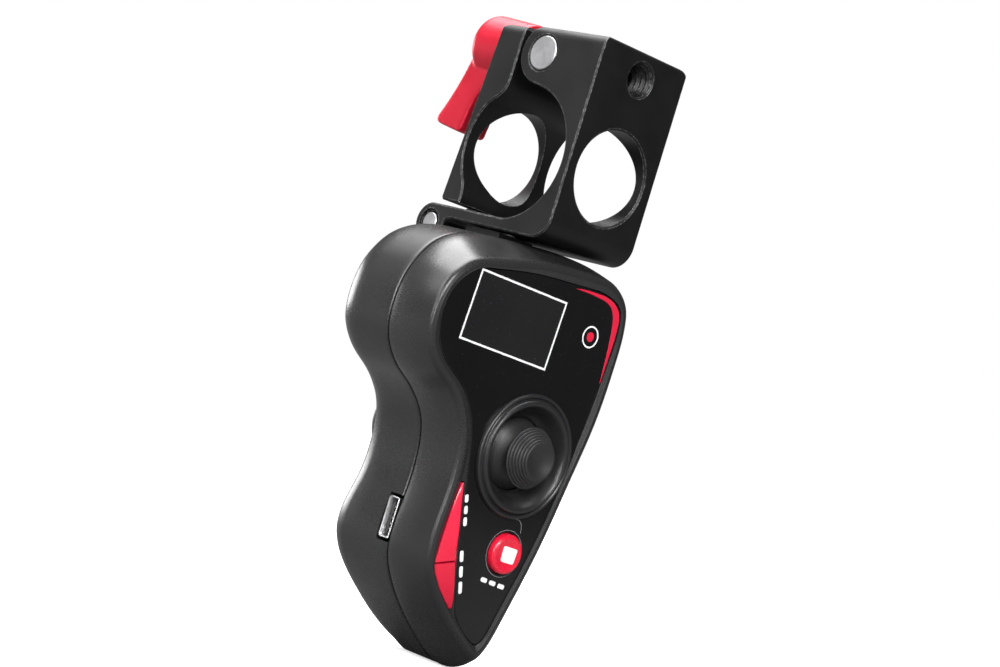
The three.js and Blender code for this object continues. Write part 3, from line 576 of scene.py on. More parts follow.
# ---- tube clamp
def clamp_profile():
    """Side view of the fixed part in (y, z), counterclockwise from the top front corner."""
    top, front = CLAMP_TOP_Z, CLAMP_FRONT_Y
    corner, fillet, boss = 1.2, 4.3, 5.6
    points = [(front, top - corner)]
    points += quadratic(points[-1], (front, top), (front + corner, top), 6)
    boss_arc = arc(0, SCREW_HEIGHT, boss, math.degrees(1.05), math.degrees(-0.95), 28)
    points += boss_arc
    bore_start = (-3.4, 12.03)
    points += bezier(boss_arc[-1], (1.6, 12.6), (-0.4, 12.9), bore_start, 14)
    start_angle = math.degrees(math.atan2(bore_start[1], bore_start[0]))
    points += arc(0, 0, TUBE_RADIUS, start_angle, 270 - math.degrees(0.18), 90)[1:]
    points += [(HINGE_Y - 4, -12.3)]
    points += arc(HINGE_Y, HINGE_Z, EAR_RADIUS, 90, -180, 44)
    points += quadratic(points[-1], (12.3, front), (10.2, front), 8)
    points += arc(front + fillet, front + fillet, fillet, 270, 180, 18)
    return np.array(points)


def along_screw(obj):
    """Swings a piece drawn along Y about the barrel nut, square to the jaw's slanted outer face."""
    tilt = math.atan2(JAW_FACE_BOTTOM[0] - JAW_FACE_TOP[0], JAW_FACE_TOP[1] - JAW_FACE_BOTTOM[1])
    to_nut = Matrix.Translation((0, 0, SCREW_HEIGHT * MM))
    obj.data.transform(to_nut @ Matrix.Rotation(tilt, 4, "X") @ to_nut.inverted())
    return obj


def fixed_clamp():
    half = CLAMP_HALF_DEPTH
    body = prism("clamp_fixed", clamp_profile(), "x", -half, half, chamfered(EDGE_CHAMFER))
    slot = KNUCKLE_HALF + GAP
    front = CLAMP_FRONT_Y
    tripod_end = front + TRIPOD_DEPTH
    nut, nut_chamfer = BARREL_NUT_RADIUS + 0.12, 0.3
    hinge, sink_radius, sink_depth = HINGE_PIN_RADIUS + GAP, 2.45, 0.5
    return boolean(body, [
        bore("cut", CROSS_HOLE_RADIUS, front - 1, 0, 0, 0, flare=0.35, flare_at=front),
        threaded_cutter(TRIPOD_RADIUS, front, tripod_end),
        along_screw(bore("cut", 3.0, tripod_end + 1, 8, 0, SCREW_HEIGHT, segments=48)),
        bore("cut", nut, -half - 1, half + 1, 0, SCREW_HEIGHT, "x"),
        bore("cut", nut, -half - 1, 0, 0, SCREW_HEIGHT, "x", nut_chamfer, -half),
        bore("cut", nut, 0, half + 1, 0, SCREW_HEIGHT, "x", nut_chamfer, half),
        bore("cut", hinge, -half - 1, half + 1, HINGE_Y, HINGE_Z, "x", segments=64),
        bore("cut", sink_radius, -half - 1, -half + sink_depth, HINGE_Y, HINGE_Z, "x", segments=64),
        bore("cut", sink_radius, half - sink_depth, half + 1, HINGE_Y, HINGE_Z, "x", segments=64),
        block("cut", -slot, slot, 11.9, 21, -21, -11),
        *top_edge_cutters(CLAMP_TOP_Z, TOP_EDGE_RADIUS),
    ])


def top_edge_cutters(top, radius):
    """Cutters that round both long top edges of a clamp half."""
    half = CLAMP_HALF_DEPTH
    tools = []
    for side in (1, -1):
        curve = arc(half - radius, top - radius, radius, 90, 0, 12)
        outline = [*curve, (half + 1, top - radius), (half + 1, top + 1), (half - radius, top + 1)]
        tools.append(prism("cut", [(side * x, z) for x, z in outline], "y", -20, 20))
    return tools


def threaded_cutter(radius, mouth, end):
    """A cutter with thread ridges every 1.27 mm, for the tripod hole in the front face."""
    pitch, depth = 1.27, 0.42
    profile = [(radius + 1.35, mouth - 1), (radius + 0.35, mouth), (radius, mouth + 0.35)]
    along = mouth + 0.6
    while along + pitch < end - 0.4:
        profile += [(radius, along), (radius - depth, along + 0.35 * pitch)]
        profile += [(radius - depth, along + 0.55 * pitch), (radius, along + 0.9 * pitch)]
        along += pitch
    profile += [(radius - 0.2, end - 0.3), (0.8, end + 0.2)]
    return lathe("cut", profile, 0, SCREW_HEIGHT, 96)


def jaw_profile():
    """Side view of the hinged part in (y, z), counterclockwise once reversed."""
    radius, inner_y, foot_z = TUBE_RADIUS + 0.2, 6.3, -11.4
    bore_low, bore_high = (10.45, -7.2), (10.2, 7.6)
    points = [(inner_y, JAW_TOP_Z - 0.7), (inner_y + 0.7, JAW_TOP_Z), (JAW_FACE_TOP[0] - 0.7, JAW_TOP_Z)]
    points += [JAW_FACE_TOP, JAW_FACE_BOTTOM, (14.4, foot_z), (9.8, foot_z)]
    points += quadratic(points[-1], (9.5, -9.3), bore_low, 12)
    start, end = (math.degrees(math.atan2(z, y)) for y, z in (bore_low, bore_high))
    points += arc(0, 0, radius, start, end, 50)[1:]
    points += bezier(points[-1], (8.8, 9.2), (inner_y, 9.6), (inner_y, 13), 14)
    return np.array(points)[::-1]


def jaw():
    half, knuckle = CLAMP_HALF_DEPTH, KNUCKLE_HALF
    body = prism("clamp_jaw_fine", jaw_profile(), "x", -half, half, chamfered(EDGE_CHAMFER))
    tail = [(12.2, -12.6), (12.2, -11.2), (14.4, -11.2), (17.2, HINGE_Z + EAR_RADIUS - 0.6)]
    tail += [(18, HINGE_Z), (14, HINGE_Z)]
    boolean(body, [
        prism("add", tail, "x", -knuckle, knuckle),
        bore("add", EAR_RADIUS - 0.3, -knuckle, knuckle, HINGE_Y, HINGE_Z, "x", segments=96),
    ], "UNION")
    low, high = SCREW_HEIGHT - 3.6, SCREW_HEIGHT + 3.2
    slot = round_corners([(-3, low), (3, low), (3, high), (-3, high)], 2.9)
    return boolean(body, [
        bore("cut", CROSS_HOLE_RADIUS, 0, 18, 0, 0),
        along_screw(prism("cut", slot, "y", 0, 16)),
        *top_edge_cutters(JAW_TOP_Z, TOP_EDGE_RADIUS),
        bore("cut", HINGE_PIN_RADIUS + GAP, -knuckle - 1, knuckle + 1, HINGE_Y, HINGE_Z, "x", segments=64),
    ])


piece(fixed_clamp(), BLACK_METAL, "handset", "black_anodised", "clamp_body", degrees=28)
piece(jaw(), BLACK_METAL, "jaw", "black_anodised", "clamp_jaw", degrees=28)


def pin(name, radius, half, y, z, node, edge=0.18):
    """A turned pin along X with chamfered, faintly dished ends."""
    profile = [(0.0, -half + 0.05), (radius * 0.6, -half + 0.02), (radius - edge, -half)]
    profile += [(radius, -half + edge)]
    profile += [(r, -along) for r, along in reversed(profile)]
    surface = turned_steel(name + "_steel", (0, y, z), 0, (0.46, 0.46, 0.47), 0.36)
    return piece(lathe(name, profile, y, z, 96, "x"), surface, "handset", "steel", node, degrees=25)


pin("barrel_nut_fine", BARREL_NUT_RADIUS, CLAMP_HALF_DEPTH + 0.05, 0, SCREW_HEIGHT, "barrel_nut")
pin("hinge_pin_fine", HINGE_PIN_RADIUS, CLAMP_HALF_DEPTH - 0.1, HINGE_Y, HINGE_Z, "hinge_pin")


# ---- clamp lever
def lever():
    """Round hub and flat wing, melted together and eased like a tumbled machined part."""
    start, end, hub_radius, half, tip = LEVER_START, LEVER_END, HUB_RADIUS, WING_HALF, WING_TIP
    hub = lathe("clamp_lever_fine", [
        (0.0, start), (hub_radius - 0.3, start), (hub_radius, start + 0.3), (hub_radius, end - 1.4),
        (hub_radius - 0.45, end - 0.5), (hub_radius - 1.4, end), (0.0, end),
    ], 0, SCREW_HEIGHT, 128)
    outline = [(start + 0.6, SCREW_HEIGHT), (start + 1.2, 15.2)]
    outline += bezier(outline[-1], (18.0, 13.4), (21.9, 11), (22.5, 5), 20)
    outline += [(22.8, tip + 0.9)]
    outline += quadratic(outline[-1], (22.9, tip), (23.8, tip), 6)
    outline += [(29.0, tip + 0.5)]
    outline += quadratic(outline[-1], (30.5, tip + 0.7), (30.3, tip + 1.8), 6)
    outline += quadratic(outline[-1], (27.7, 8.4), (26.7, 14.2), 14)
    outline += quadratic(outline[-1], (26.2, 16.4), (end - 0.6, SCREW_HEIGHT + 1), 8)
    wing = prism("add", outline, "x", -half, half)
    boolean(hub, [wing], "UNION")
    remesh = hub.modifiers.new("remesh", "REMESH")
    remesh.mode, remesh.voxel_size = "VOXEL", 0.22 * MM
    ease = hub.modifiers.new("ease", "SMOOTH")
    ease.factor, ease.iterations = 0.6, 14
    bake_modifiers(hub)
    boolean(hub, [bore("cut", 2.7, start - 1, end - 3, 0, SCREW_HEIGHT, segments=64)])
    return along_screw(hub)


piece(lever(), RED_METAL, "lever", "red_anodised", "clamp_lever", degrees=50)


def lever_washer():
    start, end, radius, edge = WASHER_START, WASHER_END, WASHER_RADIUS, 0.1
    profile = [(WASHER_HOLE, start), (radius - edge, start), (radius, start + edge)]
    profile += [(radius, end - edge), (radius - edge, end), (WASHER_HOLE, end)]
    return along_screw(hollow_lathe("lever_washer_fine", profile, 0, SCREW_HEIGHT))


piece(lever_washer(), STEEL, "washer", "steel", "lever_washer")


def clamp_screw():
    """Screw with a thread where it shows between the clamp's halves."""
    radius, start, end, thread_end = CLAMP_SCREW_RADIUS, CLAMP_SCREW_START, CLAMP_SCREW_END, 11.5
    profile = [(0.0, start), (radius - 0.4, start), (radius, start + 0.4)]
    along = start + 0.7
    while along < thread_end:
        profile += [(radius, along), (radius - 0.35, along + CLAMP_SCREW_PITCH / 2)]
        along += CLAMP_SCREW_PITCH
    profile += [(radius, along), (radius, end - 0.2), (radius - 0.2, end), (0.0, end)]
    return along_screw(lathe("clamp_screw_fine", profile, 0, SCREW_HEIGHT, 64))


piece(clamp_screw(), STEEL, "lever", "steel", "clamp_screw")


# ---- handset shells
face_ring = smooth_outline(FACE_OUTLINE)
body_ring = smooth_outline(BODY_OUTLINE)
panel_ring = smooth_outline(PANEL_OUTLINE, 20, 3.0)
COUNT = len(face_ring)


def ring_at(y, distance):
    """The handset's outline at a depth, inset by a distance, as (x, y, z)."""
    t = min(1.0, max(0.0, (y - RIM_Y) / (SEAM_Y - RIM_Y)))
    ring = inset(face_ring + (body_ring - face_ring) * math.sin(t * math.pi / 2), distance)
    return np.stack([ring[:, 0], np.full(COUNT, float(y)), ring[:, 1]], 1)


def back_ring(distance, rise, radius):
    """A ring of the rounded back: inset by distance, rise in radii above the corner's centre."""
    full = ring_at(SEAM_Y, 0)
    ring = inset(body_ring, distance)
    centre = soften((depth_of_back(full[:, 2]) - BACK_CORNER_RADIUS)[:, None], 6)[:, 0]
    return np.stack([ring[:, 0], centre + radius * rise, ring[:, 1]], 1)


def rectangle(u0, u1, v0, v1, radius, steps=5):
    return round_corners([(u0, v0), (u1, v0), (u1, v1), (u0, v1)], radius, steps)


def usb_cutter():
    deep, high = USB_HALF_DEPTH + 0.47, USB_HALF_HEIGHT + 0.7
    return prism("cut", rectangle(USB_Y - deep, USB_Y + deep, USB_Z - high, USB_Z + high, 0.5), "x", -19, -12)


# Edges of the two leaf keys, from top to bottom, as (x, z).
UPPER_KEY_LEFT = [(-13.35, -59.5), (-13.75, -63.0), (-13.95, -67.0), (-14.05, -71.0), (-14.0, -74.2)]
UPPER_KEY_RIGHT = [(-13.05, -59.45), (-12.1, -62.6), (-11.05, -66.2), (-10.05, -69.6), (-9.45, -71.75)]
UPPER_KEY_RIDGE = [(-13.2, -59.6), (-12.75, -63.4), (-11.95, -67.8), (-11.25, -71.2), (-10.75, -72.95)]
LOWER_KEY_LEFT = [(-13.95, -74.6), (-13.3, -76.0), (-11.4, -78.2), (-9.2, -80.2), (-7.35, -81.6)]
LOWER_KEY_RIGHT = [(-9.35, -72.15), (-8.5, -74.9), (-7.8, -77.4), (-7.2, -79.8), (-6.95, -81.4)]
LOWER_KEY_RIDGE = [(-10.65, -73.35), (-9.95, -75.2), (-9.05, -77.5), (-8.0, -79.8), (-7.2, -81.3)]


# The eased edge where the shells meet: how far behind the end face, and how deep under the outline.
SEAM_EDGE = ((0, 0.34), (0.05, 0.16), (0.19, 0.03), (0.45, 0))


def front_shell():
    """The front half: floor, wall and groove inside, then the seam, the side, the rim and the inner lip."""
    floor_y, groove_y, end = -11.6, TONGUE_Y - 0.2, SEAM_Y - 0.15
    inner = [ring_at(floor_y, WALL + 2.2), ring_at(floor_y, WALL + 0.5), ring_at(floor_y + 0.5, WALL)]
    inner += [ring_at(groove_y, WALL), ring_at(groove_y, 1.0), ring_at(end, 1.0)]
    seam = [ring_at(end - back, depth) for back, depth in SEAM_EDGE]
    side = []
    for y in np.linspace(SEAM_Y - 1.2, RIM_Y + 1.3, 15):
        bulge = -0.25 * math.sin(math.pi * (y - SEAM_Y) / (RIM_Y + 1.2 - SEAM_Y))
        side.append(ring_at(y, bulge))
    crest_radius = 1.15
    crest = []
    for degrees in range(8, 128, 8):
        angle = math.radians(degrees)
        y, depth = RIM_Y + crest_radius * (1 - math.sin(angle)), crest_radius * (1 - math.cos(angle))
        crest.append(ring_at(y, depth))
    lip_y = RIM_Y + crest_radius * (1 - math.sin(math.radians(124)))
    lip = [ring_at(lip_y + 0.07 * k, 1.85 + 0.16 * k) for k in range(1, 4)]
    lip.append(ring_at(PANEL_Y - 0.02, 2.6))
    lip.append(ring_at(PANEL_Y - 0.02, 4.2))
    shell = loft("front_shell_fine", inner + seam + side + crest + lip)
    recess = prism("cut", panel_ring - normals_of(panel_ring) * 0.16, "y", -17, PANEL_BACK_Y + 0.1)
    return boolean(shell, [
        recess, block("cut", *DISPLAY_OPENING), block("cut", *BRACKET_OPENING), key_pocket(), usb_cutter(),
        bore("cut", STICK_OPENING_RADIUS, -16, -10, STICK_X, STICK_Z),
        bore("cut", POWER_OPENING_RADIUS, -16, -10, POWER_X, POWER_Z),
    ])


def key_pocket():
    outline = np.concatenate([UPPER_KEY_LEFT, LOWER_KEY_LEFT, LOWER_KEY_RIGHT[::-1], UPPER_KEY_RIGHT[::-1]])
    return prism("cut", offset_polygon(counterclockwise(outline), -KEY_CLEARANCE), "y", -17, -11)


def leaf_key(name, left, ridge, right, stem):
    """A faceted leaf key: a broad and a narrow facet meet at a ridge, on straight sides with eased edges."""
    base_y, edge_y, ridge_y, ease, full_width = KEY_BASE_Y, -14.85, -16.0, 0.18, 3.0
    rows = []
    for (lx, lz), (mx, mz), (rx, rz) in zip(left, ridge, right):
        outer_l, outer_r, top = np.array([lx, lz]), np.array([rx, rz]), np.array([mx, mz])
        span_l, span_r = top - outer_l, top - outer_r
        ease_l, ease_r = (
            span / max(np.linalg.norm(span), 1e-6) * min(ease, 0.4 * np.linalg.norm(span))
            for span in (span_l, span_r)
        )
        height = edge_y + (ridge_y - edge_y) * min(1.0, np.linalg.norm(outer_l - outer_r) / full_width)
        rows.append([
            (*outer_l, base_y), (*outer_l, edge_y + 0.16), (*(outer_l + ease_l), edge_y),
            (*(top - span_l * 0.04), height + 0.02), (*(top - span_r * 0.06), height + 0.02),
            (*(outer_r + ease_r), edge_y), (*outer_r, edge_y + 0.16), (*outer_r, base_y),
        ])
    rings = [np.array([(x, y, z) for x, z, y in row]) for row in rows]
    cap = loft(name, rings)
    weld(cap)
    stem_x, stem_z = stem
    return boolean(cap, [bore("add", 0.9, base_y - 0.4, -3.1, stem_x, stem_z, segments=24)], "UNION")


piece(front_shell(), SHELL, "handset", "shell_plastic", "front_shell", degrees=30)
piece(leaf_key("upper_key_fine", UPPER_KEY_LEFT, UPPER_KEY_RIDGE, UPPER_KEY_RIGHT, (-12.3, -63.6)),
      RED_PLASTIC, "upper_leaf", "red_plastic", "upper_key", degrees=14)
piece(leaf_key("lower_key_fine", LOWER_KEY_LEFT, LOWER_KEY_RIDGE, LOWER_KEY_RIGHT, (-9.8, -76.2)),
      RED_PLASTIC, "lower_leaf", "red_plastic", "lower_key", degrees=14)


def rear_shell():
    """The rear half: wall and tongue inside, then the seam, the side, the round corner and the back."""
    start = SEAM_Y + 0.15
    inner_radius = BACK_CORNER_RADIUS - WALL
    middle = 4.5
    inner = []
    for k in (4, 3, 2, 1):
        angle = k / 4 * math.pi / 2
        distance = BACK_CORNER_RADIUS - inner_radius * math.cos(angle)
        inner.append(back_ring(distance, math.sin(angle), inner_radius))
    tongue = 1.12  # depth of the tongue's outer face under the outline
    inner += [ring_at(middle, WALL), ring_at(TONGUE_Y, WALL)]
    inner += [ring_at(TONGUE_Y, tongue), ring_at(start, tongue)]
    seam = [ring_at(start + back, depth) for back, depth in SEAM_EDGE]
    side = [ring_at(y, 0) for y in np.linspace(start + 1.2, middle, 8)]
    corner = []
    for angle in np.linspace(0, math.pi / 2, 17)[1:]:
        distance = BACK_CORNER_RADIUS * (1 - math.cos(angle))
        corner.append(back_ring(distance, math.sin(angle), BACK_CORNER_RADIUS))
    last = corner[-1]
    flat = []
    spine = nearest_on_spine(last[:, [0, 2]])
    for share in (0.25, 0.5, 0.75, 0.9):
        ring = last[:, [0, 2]] * (1 - share) + spine * share
        crown = 0.35 * math.sin(share * math.pi / 2)
        depth = last[:, 1] * (1 - share) + depth_of_back(ring[:, 1]) * share
        flat.append(np.stack([ring[:, 0], depth + crown, ring[:, 1]], 1))
    shell = loft("rear_shell_fine", inner + seam + side + corner + flat)
    half = TRIGGER_HALF + TRIGGER_CLEARANCE
    opening = rectangle(TRIGGER_X - half, TRIGGER_X + half, -60.0, -46.4, 1.6)
    return boolean(shell, [
        prism("cut", opening, "y", 8.5, 22),
        block("cut", *BRACKET_OPENING),
        usb_cutter(),
        *[bore("cut", 2.3, 8.8, 22, x, z, segments=48) for x, z in SHELL_SCREWS],
    ])


piece(rear_shell(), SHELL, "handset", "shell_plastic", "rear_shell", degrees=30)


# ---- face
def face_panel():
    rim = ((0.16, 0.0), (0.09, 0.03), (0.03, 0.09), (0.0, 0.16))
    panel = prism("face_panel_fine", panel_ring, "y", PANEL_Y, PANEL_BACK_Y, rim)
    return boolean(panel, [
        bore("cut", STICK_OPENING_RADIUS, -16, -10, STICK_X, STICK_Z),
        bore("cut", POWER_OPENING_RADIUS, -16, -10, POWER_X, POWER_Z, "y", 0.12, PANEL_Y, 96),
    ])


piece(face_panel(), GLOSS, "handset", "gloss_panel", "face_panel", degrees=20)

PRINT_FRONT, PRINT_BACK = PANEL_Y - 0.03, PANEL_Y + 0.02
FRAME_CORNERS = [(-23.53, -22.99), (-1.40, -23.68), (-1.87, -36.17), (-24.10, -35.43)]


def printed_shape(name, outline, surface):
    mark = prism(name, outline, "y", PRINT_FRONT, PRINT_BACK, chamfered(0.015))
    return piece(mark, surface, "handset", "gloss_panel", degrees=20)


def strip(name, points, width, surface, closed=False):
    """A printed line of that width through the points."""
    p = np.asarray(points, float)
    if closed:
        outer, inner = (offset_polygon(counterclockwise(p), side * width / 2) for side in (-1, 1))
        section = (outer, PRINT_BACK), (outer, PRINT_FRONT), (inner, PRINT_FRONT), (inner, PRINT_BACK)
        rings = [np.insert(ring, 1, y, axis=1) for ring, y in section]
        return piece(loft(name, rings, wrap=True), surface, "handset", "gloss_panel", degrees=20)
    tangent = np.gradient(p, axis=0)
    tangent /= np.linalg.norm(tangent, axis=1)[:, None]
    normal = np.stack([-tangent[:, 1], tangent[:, 0]], 1) * width / 2
    return printed_shape(name, np.concatenate([p + normal, (p - normal)[::-1]]), surface)


strip("display_frame", FRAME_CORNERS, 0.36, WHITE_INK, closed=True)
window_outline = offset_polygon(np.array(FRAME_CORNERS)[::-1], 0.18)
window = prism("display_window", window_outline, "y", PANEL_Y - 0.012, PANEL_Y + 0.03)
piece(window, WINDOW, "handset", "display_glass", degrees=20)

STRIPE_OUTER = [
    (-0.04, -20.55), (2.4, -20.25), (5.3, -20.15), (8.2, -20.2), (10.4, -20.75), (12.0, -21.8),
    (12.95, -23.4), (13.25, -26.0), (13.25, -29.1), (13.1, -32.6), (12.95, -35.5),
]
STRIPE_INNER = [
    (0.1, -20.62), (3.1, -20.62), (5.7, -20.75), (8.0, -20.98), (9.8, -21.65), (11.0, -22.95),
    (11.75, -25.1), (12.15, -27.7), (12.45, -30.4), (12.7, -33.4), (12.85, -35.45),
]


def open_curve(points, per_segment=8):
    """A smooth open line through the points."""
    p = np.asarray(points, float)
    extended = np.concatenate([[2 * p[0] - p[1]], p, [2 * p[-1] - p[-2]]])
    out = []
    for i in range(1, len(extended) - 2):
        p0, p1, p2, p3 = extended[i - 1 : i + 3]
        for k in range(per_segment):
            t = k / per_segment
            out.append(0.5 * (2 * p1 + (p2 - p0) * t + (2 * p0 - 5 * p1 + 4 * p2 - p3) * t**2
                              + (3 * p1 - p0 - 3 * p2 + p3) * t**3))
    return np.array([*out, p[-1]])


stripe = np.concatenate([open_curve(STRIPE_OUTER), open_curve(STRIPE_INNER)[::-1]])
printed_shape("corner_stripe", stripe, RED_INK)

# Plain generic marks: a ring with a dot beside the display, and short bars beside the keys and the button.
MARK_X, MARK_Z = 7.0, -28.0
strip("round_mark", arc(MARK_X, MARK_Z, 1.9, 0, 350, 35), 0.3, WHITE_INK, closed=True)
printed_shape("dot_mark", arc(MARK_X, MARK_Z, 0.9, 0, 350, 35), RED_INK)


def bar(name, start, end, width):
    along = (end - start) / np.linalg.norm(end - start)
    across = np.array([-along[1], along[0]]) * width / 2
    outline = round_corners([start - across, end - across, end + across, start + across], width * 0.45, 4)
    printed_shape(name, outline, WHITE_INK)


def row_of_bars(name, start, end):
    """Three short bars along a line, each between two shares of its length."""
    start, end = np.array(start), np.array(end)
    for i, (a, b) in enumerate(((0, 0.26), (0.36, 0.62), (0.72, 1))):
        bar(f"{name}_{i + 1}", start + (end - start) * a, start + (end - start) * b, 0.85)


row_of_bars("upper_mark", (-11.25, -61.3), (-9.45, -66.8))
row_of_bars("lower_mark", (-8.35, -71.1), (-5.65, -78.6))
row_of_bars("power_mark", (-1.7, -75.15), (4.6, -75.75))
GUIDE_LINE = [(1.15, -63.45), (2.6, -63.3), (3.5, -63.45), (4.1, -64.0), (4.45, -64.9), (4.55, -65.6)]
strip("guide_line", open_curve(GUIDE_LINE), 0.13, GREY_INK)
strip("power_ring_line", arc(POWER_X, POWER_Z, POWER_RADIUS + 0.62, 0, 352, 60), 0.12, GREY_INK, closed=True)


def power_button():
    """Button with a raised soft rim, a flange under the shell and a stem down to its switch."""
    r, flange, stem = POWER_RADIUS, POWER_RADIUS + 1.1, 1.2
    return lathe("power_button_fine", [
        (0.0, -15.50), (1.6, -15.51), (r - 1.15, -15.56), (r - 0.85, -15.66), (r - 0.60, -15.68),
        (r - 0.35, -15.60), (r - 0.12, -15.40), (r, -15.1), (r, -11.2), (flange, -11.2), (flange, -10.2),
        (stem, -10.2), (stem, -3.1), (0.0, -3.1),
    ], POWER_X, POWER_Z, 128)


piece(power_button(), BUTTON_RED, "power_key", "red_plastic", "power_button", degrees=40)
icon = round_corners([(0.55, -68.3), (4.15, -68.5), (3.95, -71.35), (0.65, -71.2)], 0.45)
icon_mark = prism("power_icon", icon, "y", -15.6, -15.45, chamfered(0.05))
piece(icon_mark, WHITE_INK, "power_key", "red_plastic", degrees=20)


# ---- thumbstick
# Section of the ring round the stick, as (radius, y): a low outer lip, a groove, the crest and the bowl.
RING_PROFILE = [
    (11.45, -14.45), (11.45, -14.90), (11.38, -15.12), (11.20, -15.28), (10.98, -15.30), (10.80, -15.20),
    (10.68, -15.02), (10.56, -14.94), (10.46, -15.00), (10.38, -15.22), (10.28, -15.50), (10.08, -15.70),
    (9.82, -15.78), (9.55, -15.70), (9.30, -15.46), (9.02, -15.05), (8.66, -14.48), (8.28, -13.84),
    (7.95, -13.2), (7.62, -12.75), (7.32, -12.42), (7.00, -12.18), (6.80, -11.98), (6.95, -11.8),
    (8.2, -11.8), (10.15, -13.2), (10.15, -14.40),
]
stick_ring = hollow_lathe("stick_ring_fine", RING_PROFILE, STICK_X, STICK_Z, 160)
piece(stick_ring, RING_PLASTIC, "handset", "black_plastic", "stick_ring", degrees=40)


def thumbstick():
    """Ribbed cap that tapers to a dished top, on a shallow dome that closes the bowl."""
    def on_sphere(radius, degrees):
        angle = math.radians(degrees)
        return radius * math.sin(angle), STICK_PIVOT_Y - radius * math.cos(angle)

    profile = [(0.0, -18.25), (1.2, -18.32), (2.3, -18.56), (2.9, -18.84), (3.2, -18.96), (3.42, -18.96)]
    profile += [(3.6, -18.84)]
    ribs_start, ribs_end, pitch, slope = -18.72, -16.3, 0.46, 0.75
    along = ribs_start
    while along < ribs_end:
        r = 3.62 + (along - ribs_start) * slope
        profile += [(r - 0.16, along), (r - 0.14, along + 0.08), (r + 0.22, along + 0.14)]
        profile += [(r + 0.30, along + 0.32), (r + 0.10, along + 0.40)]
        along += pitch
    profile += [(5.62, -16.02), (5.55, -15.86), (5.25, -15.72), (4.3, -15.62), (3.7, -15.45), (3.45, -15.1)]
    profile += [(3.5, -14.75)]
    dome, inside = 8.8, 7.9
    profile += [on_sphere(dome, d) for d in (24, 26, 28, 30, 32, 35, 38, 41, 44, 47, 50, 53, 55)]
    profile += [on_sphere(inside, d) for d in (54, 48, 42, 36, 30, 24)]
    profile += [(1.3, -13.4), (1.3, -7.5), (1.7, -6.9), (1.9, -6.0), (1.7, -5.1), (0.0, -4.2)]
    return lathe("thumbstick_fine", profile, STICK_X, STICK_Z, 144)


piece(thumbstick(), RUBBER, "stick", "stick_rubber", "thumbstick", degrees=38)


# ---- trigger
def trigger():
    """Rubbery trigger with five shallow grooves across it."""
    pivot_y, pivot_z = TRIGGER_PIVOT
    outline = [(pivot_y - 1.6, pivot_z + 0.6), (pivot_y + 1.6, pivot_z + 0.6), (10.4, -47.0), (13.4, -47.4)]
    outline += bezier(outline[-1], (17.4, -48.6), (19.2, -52), (17.6, -55.6), 18)
    outline += bezier(outline[-1], (16.8, -57.6), (15.2, -58.8), (12.8, -59.2), 10)
    outline += [(8.6, -59.2), (8.0, -57.8)]
    left, right = TRIGGER_X - TRIGGER_HALF, TRIGGER_X + TRIGGER_HALF
    body = prism("trigger_fine", outline, "x", left, right, rounded(0.9, 5))
    groove_places = arc(11.9, -53.2, 6.3, -34, 34, 4)
    grooves = [bore("cut", 0.35, left + 1.7, right - 1.7, y, z, "x", segments=20) for y, z in groove_places]
    hole = bore("cut", 1.3, TRIGGER_X - 9, TRIGGER_X + 9, pivot_y, pivot_z, "x", segments=32)
    return boolean(body, [*grooves, hole])


piece(trigger(), RUBBER, "rear_trigger", "stick_rubber", "trigger", degrees=35)


# ---- USB socket
def usb_socket():
    """Folded metal shell with a flared mouth."""
    levels = [(-11.3, 0.0), (-15.9, 0.0), (-16.15, -0.10), (-16.25, -0.02), (-16.2, 0.12), (-15.9, 0.28)]
    levels += [(-11.9, 0.28)]
    rings = []
    for x, margin in levels:
        deep, high = USB_HALF_DEPTH - margin, USB_HALF_HEIGHT - margin
        outline = rectangle(USB_Y - deep, USB_Y + deep, USB_Z - high, USB_Z + high, 0.55, 6)
        rings.append(np.insert(outline, 0, x, axis=1))
    return loft("usb_socket_fine", rings)


piece(usb_socket(), CONNECTOR, "handset", "steel", "usb_socket", degrees=35)
tongue = block("usb_tongue", -15.4, -12.0, USB_Y + 0.25, USB_Y + 0.85, USB_Z - 2.9, USB_Z + 2.9, 0.15)
piece(tongue, INNER_PLASTIC, "handset", "black_plastic")
for i in range(5):
    z = USB_Z + i - 2
    contact = block(f"usb_contact_{i + 1}", -15.25, -12.2, USB_Y + 0.14, USB_Y + 0.30, z - 0.2, z + 0.2, 0.05)
    piece(contact, CONNECTOR, "handset", "steel")


# ---- screws on the back
def shell_screw(index, x, z):
    """Screw with a domed head and a cross recess."""
    head = lathe(f"shell_screw_{index}_fine", [
        (0.0, 8.95), (1.1, 8.92), (1.7, 8.72), (2.0, 8.3), (2.0, 6.9), (1.0, 6.8), (1.0, -9.0), (0.0, -9.2),
    ], x, z, 48)
    half_width, half_length, depth = 0.25, 1.2, (8.0, 10)
    return boolean(head, [
        block("cut", x - half_width, x + half_width, *depth, z - half_length, z + half_length),
        block("cut", x - half_length, x + half_length, *depth, z - half_width, z + half_width),
    ])


for i, (x, z) in enumerate(SHELL_SCREWS):
    piece(shell_screw(i + 1, x, z), STEEL, "handset", "steel", f"shell_screw_{i + 1}")

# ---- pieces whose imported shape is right
NODE_SURFACES = {
    "mount_bracket": RING_PLASTIC, "mount_screw_1": STEEL, "mount_screw_2": STEEL, "display_module": WINDOW,
    "stick_housing": STEEL, "stick_gimbal": INNER_PLASTIC, "stick_sensor_side": INNER_PLASTIC,
    "stick_sensor_lower": INNER_PLASTIC, "stick_spring": STEEL, "trigger_pin": STEEL, "trigger_spring": STEEL,
    "main_board": BOARD_GREEN, "battery": FOIL, "radio_module": BOARD_GREEN, "power_switch": INNER_PLASTIC,
    "upper_key_switch": INNER_PLASTIC, "lower_key_switch": INNER_PLASTIC, "trigger_switch": INNER_PLASTIC,
}
for node, surface in NODE_SURFACES.items():
    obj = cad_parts[node]
    obj.data.materials.clear()
    obj.data.materials.append(surface)


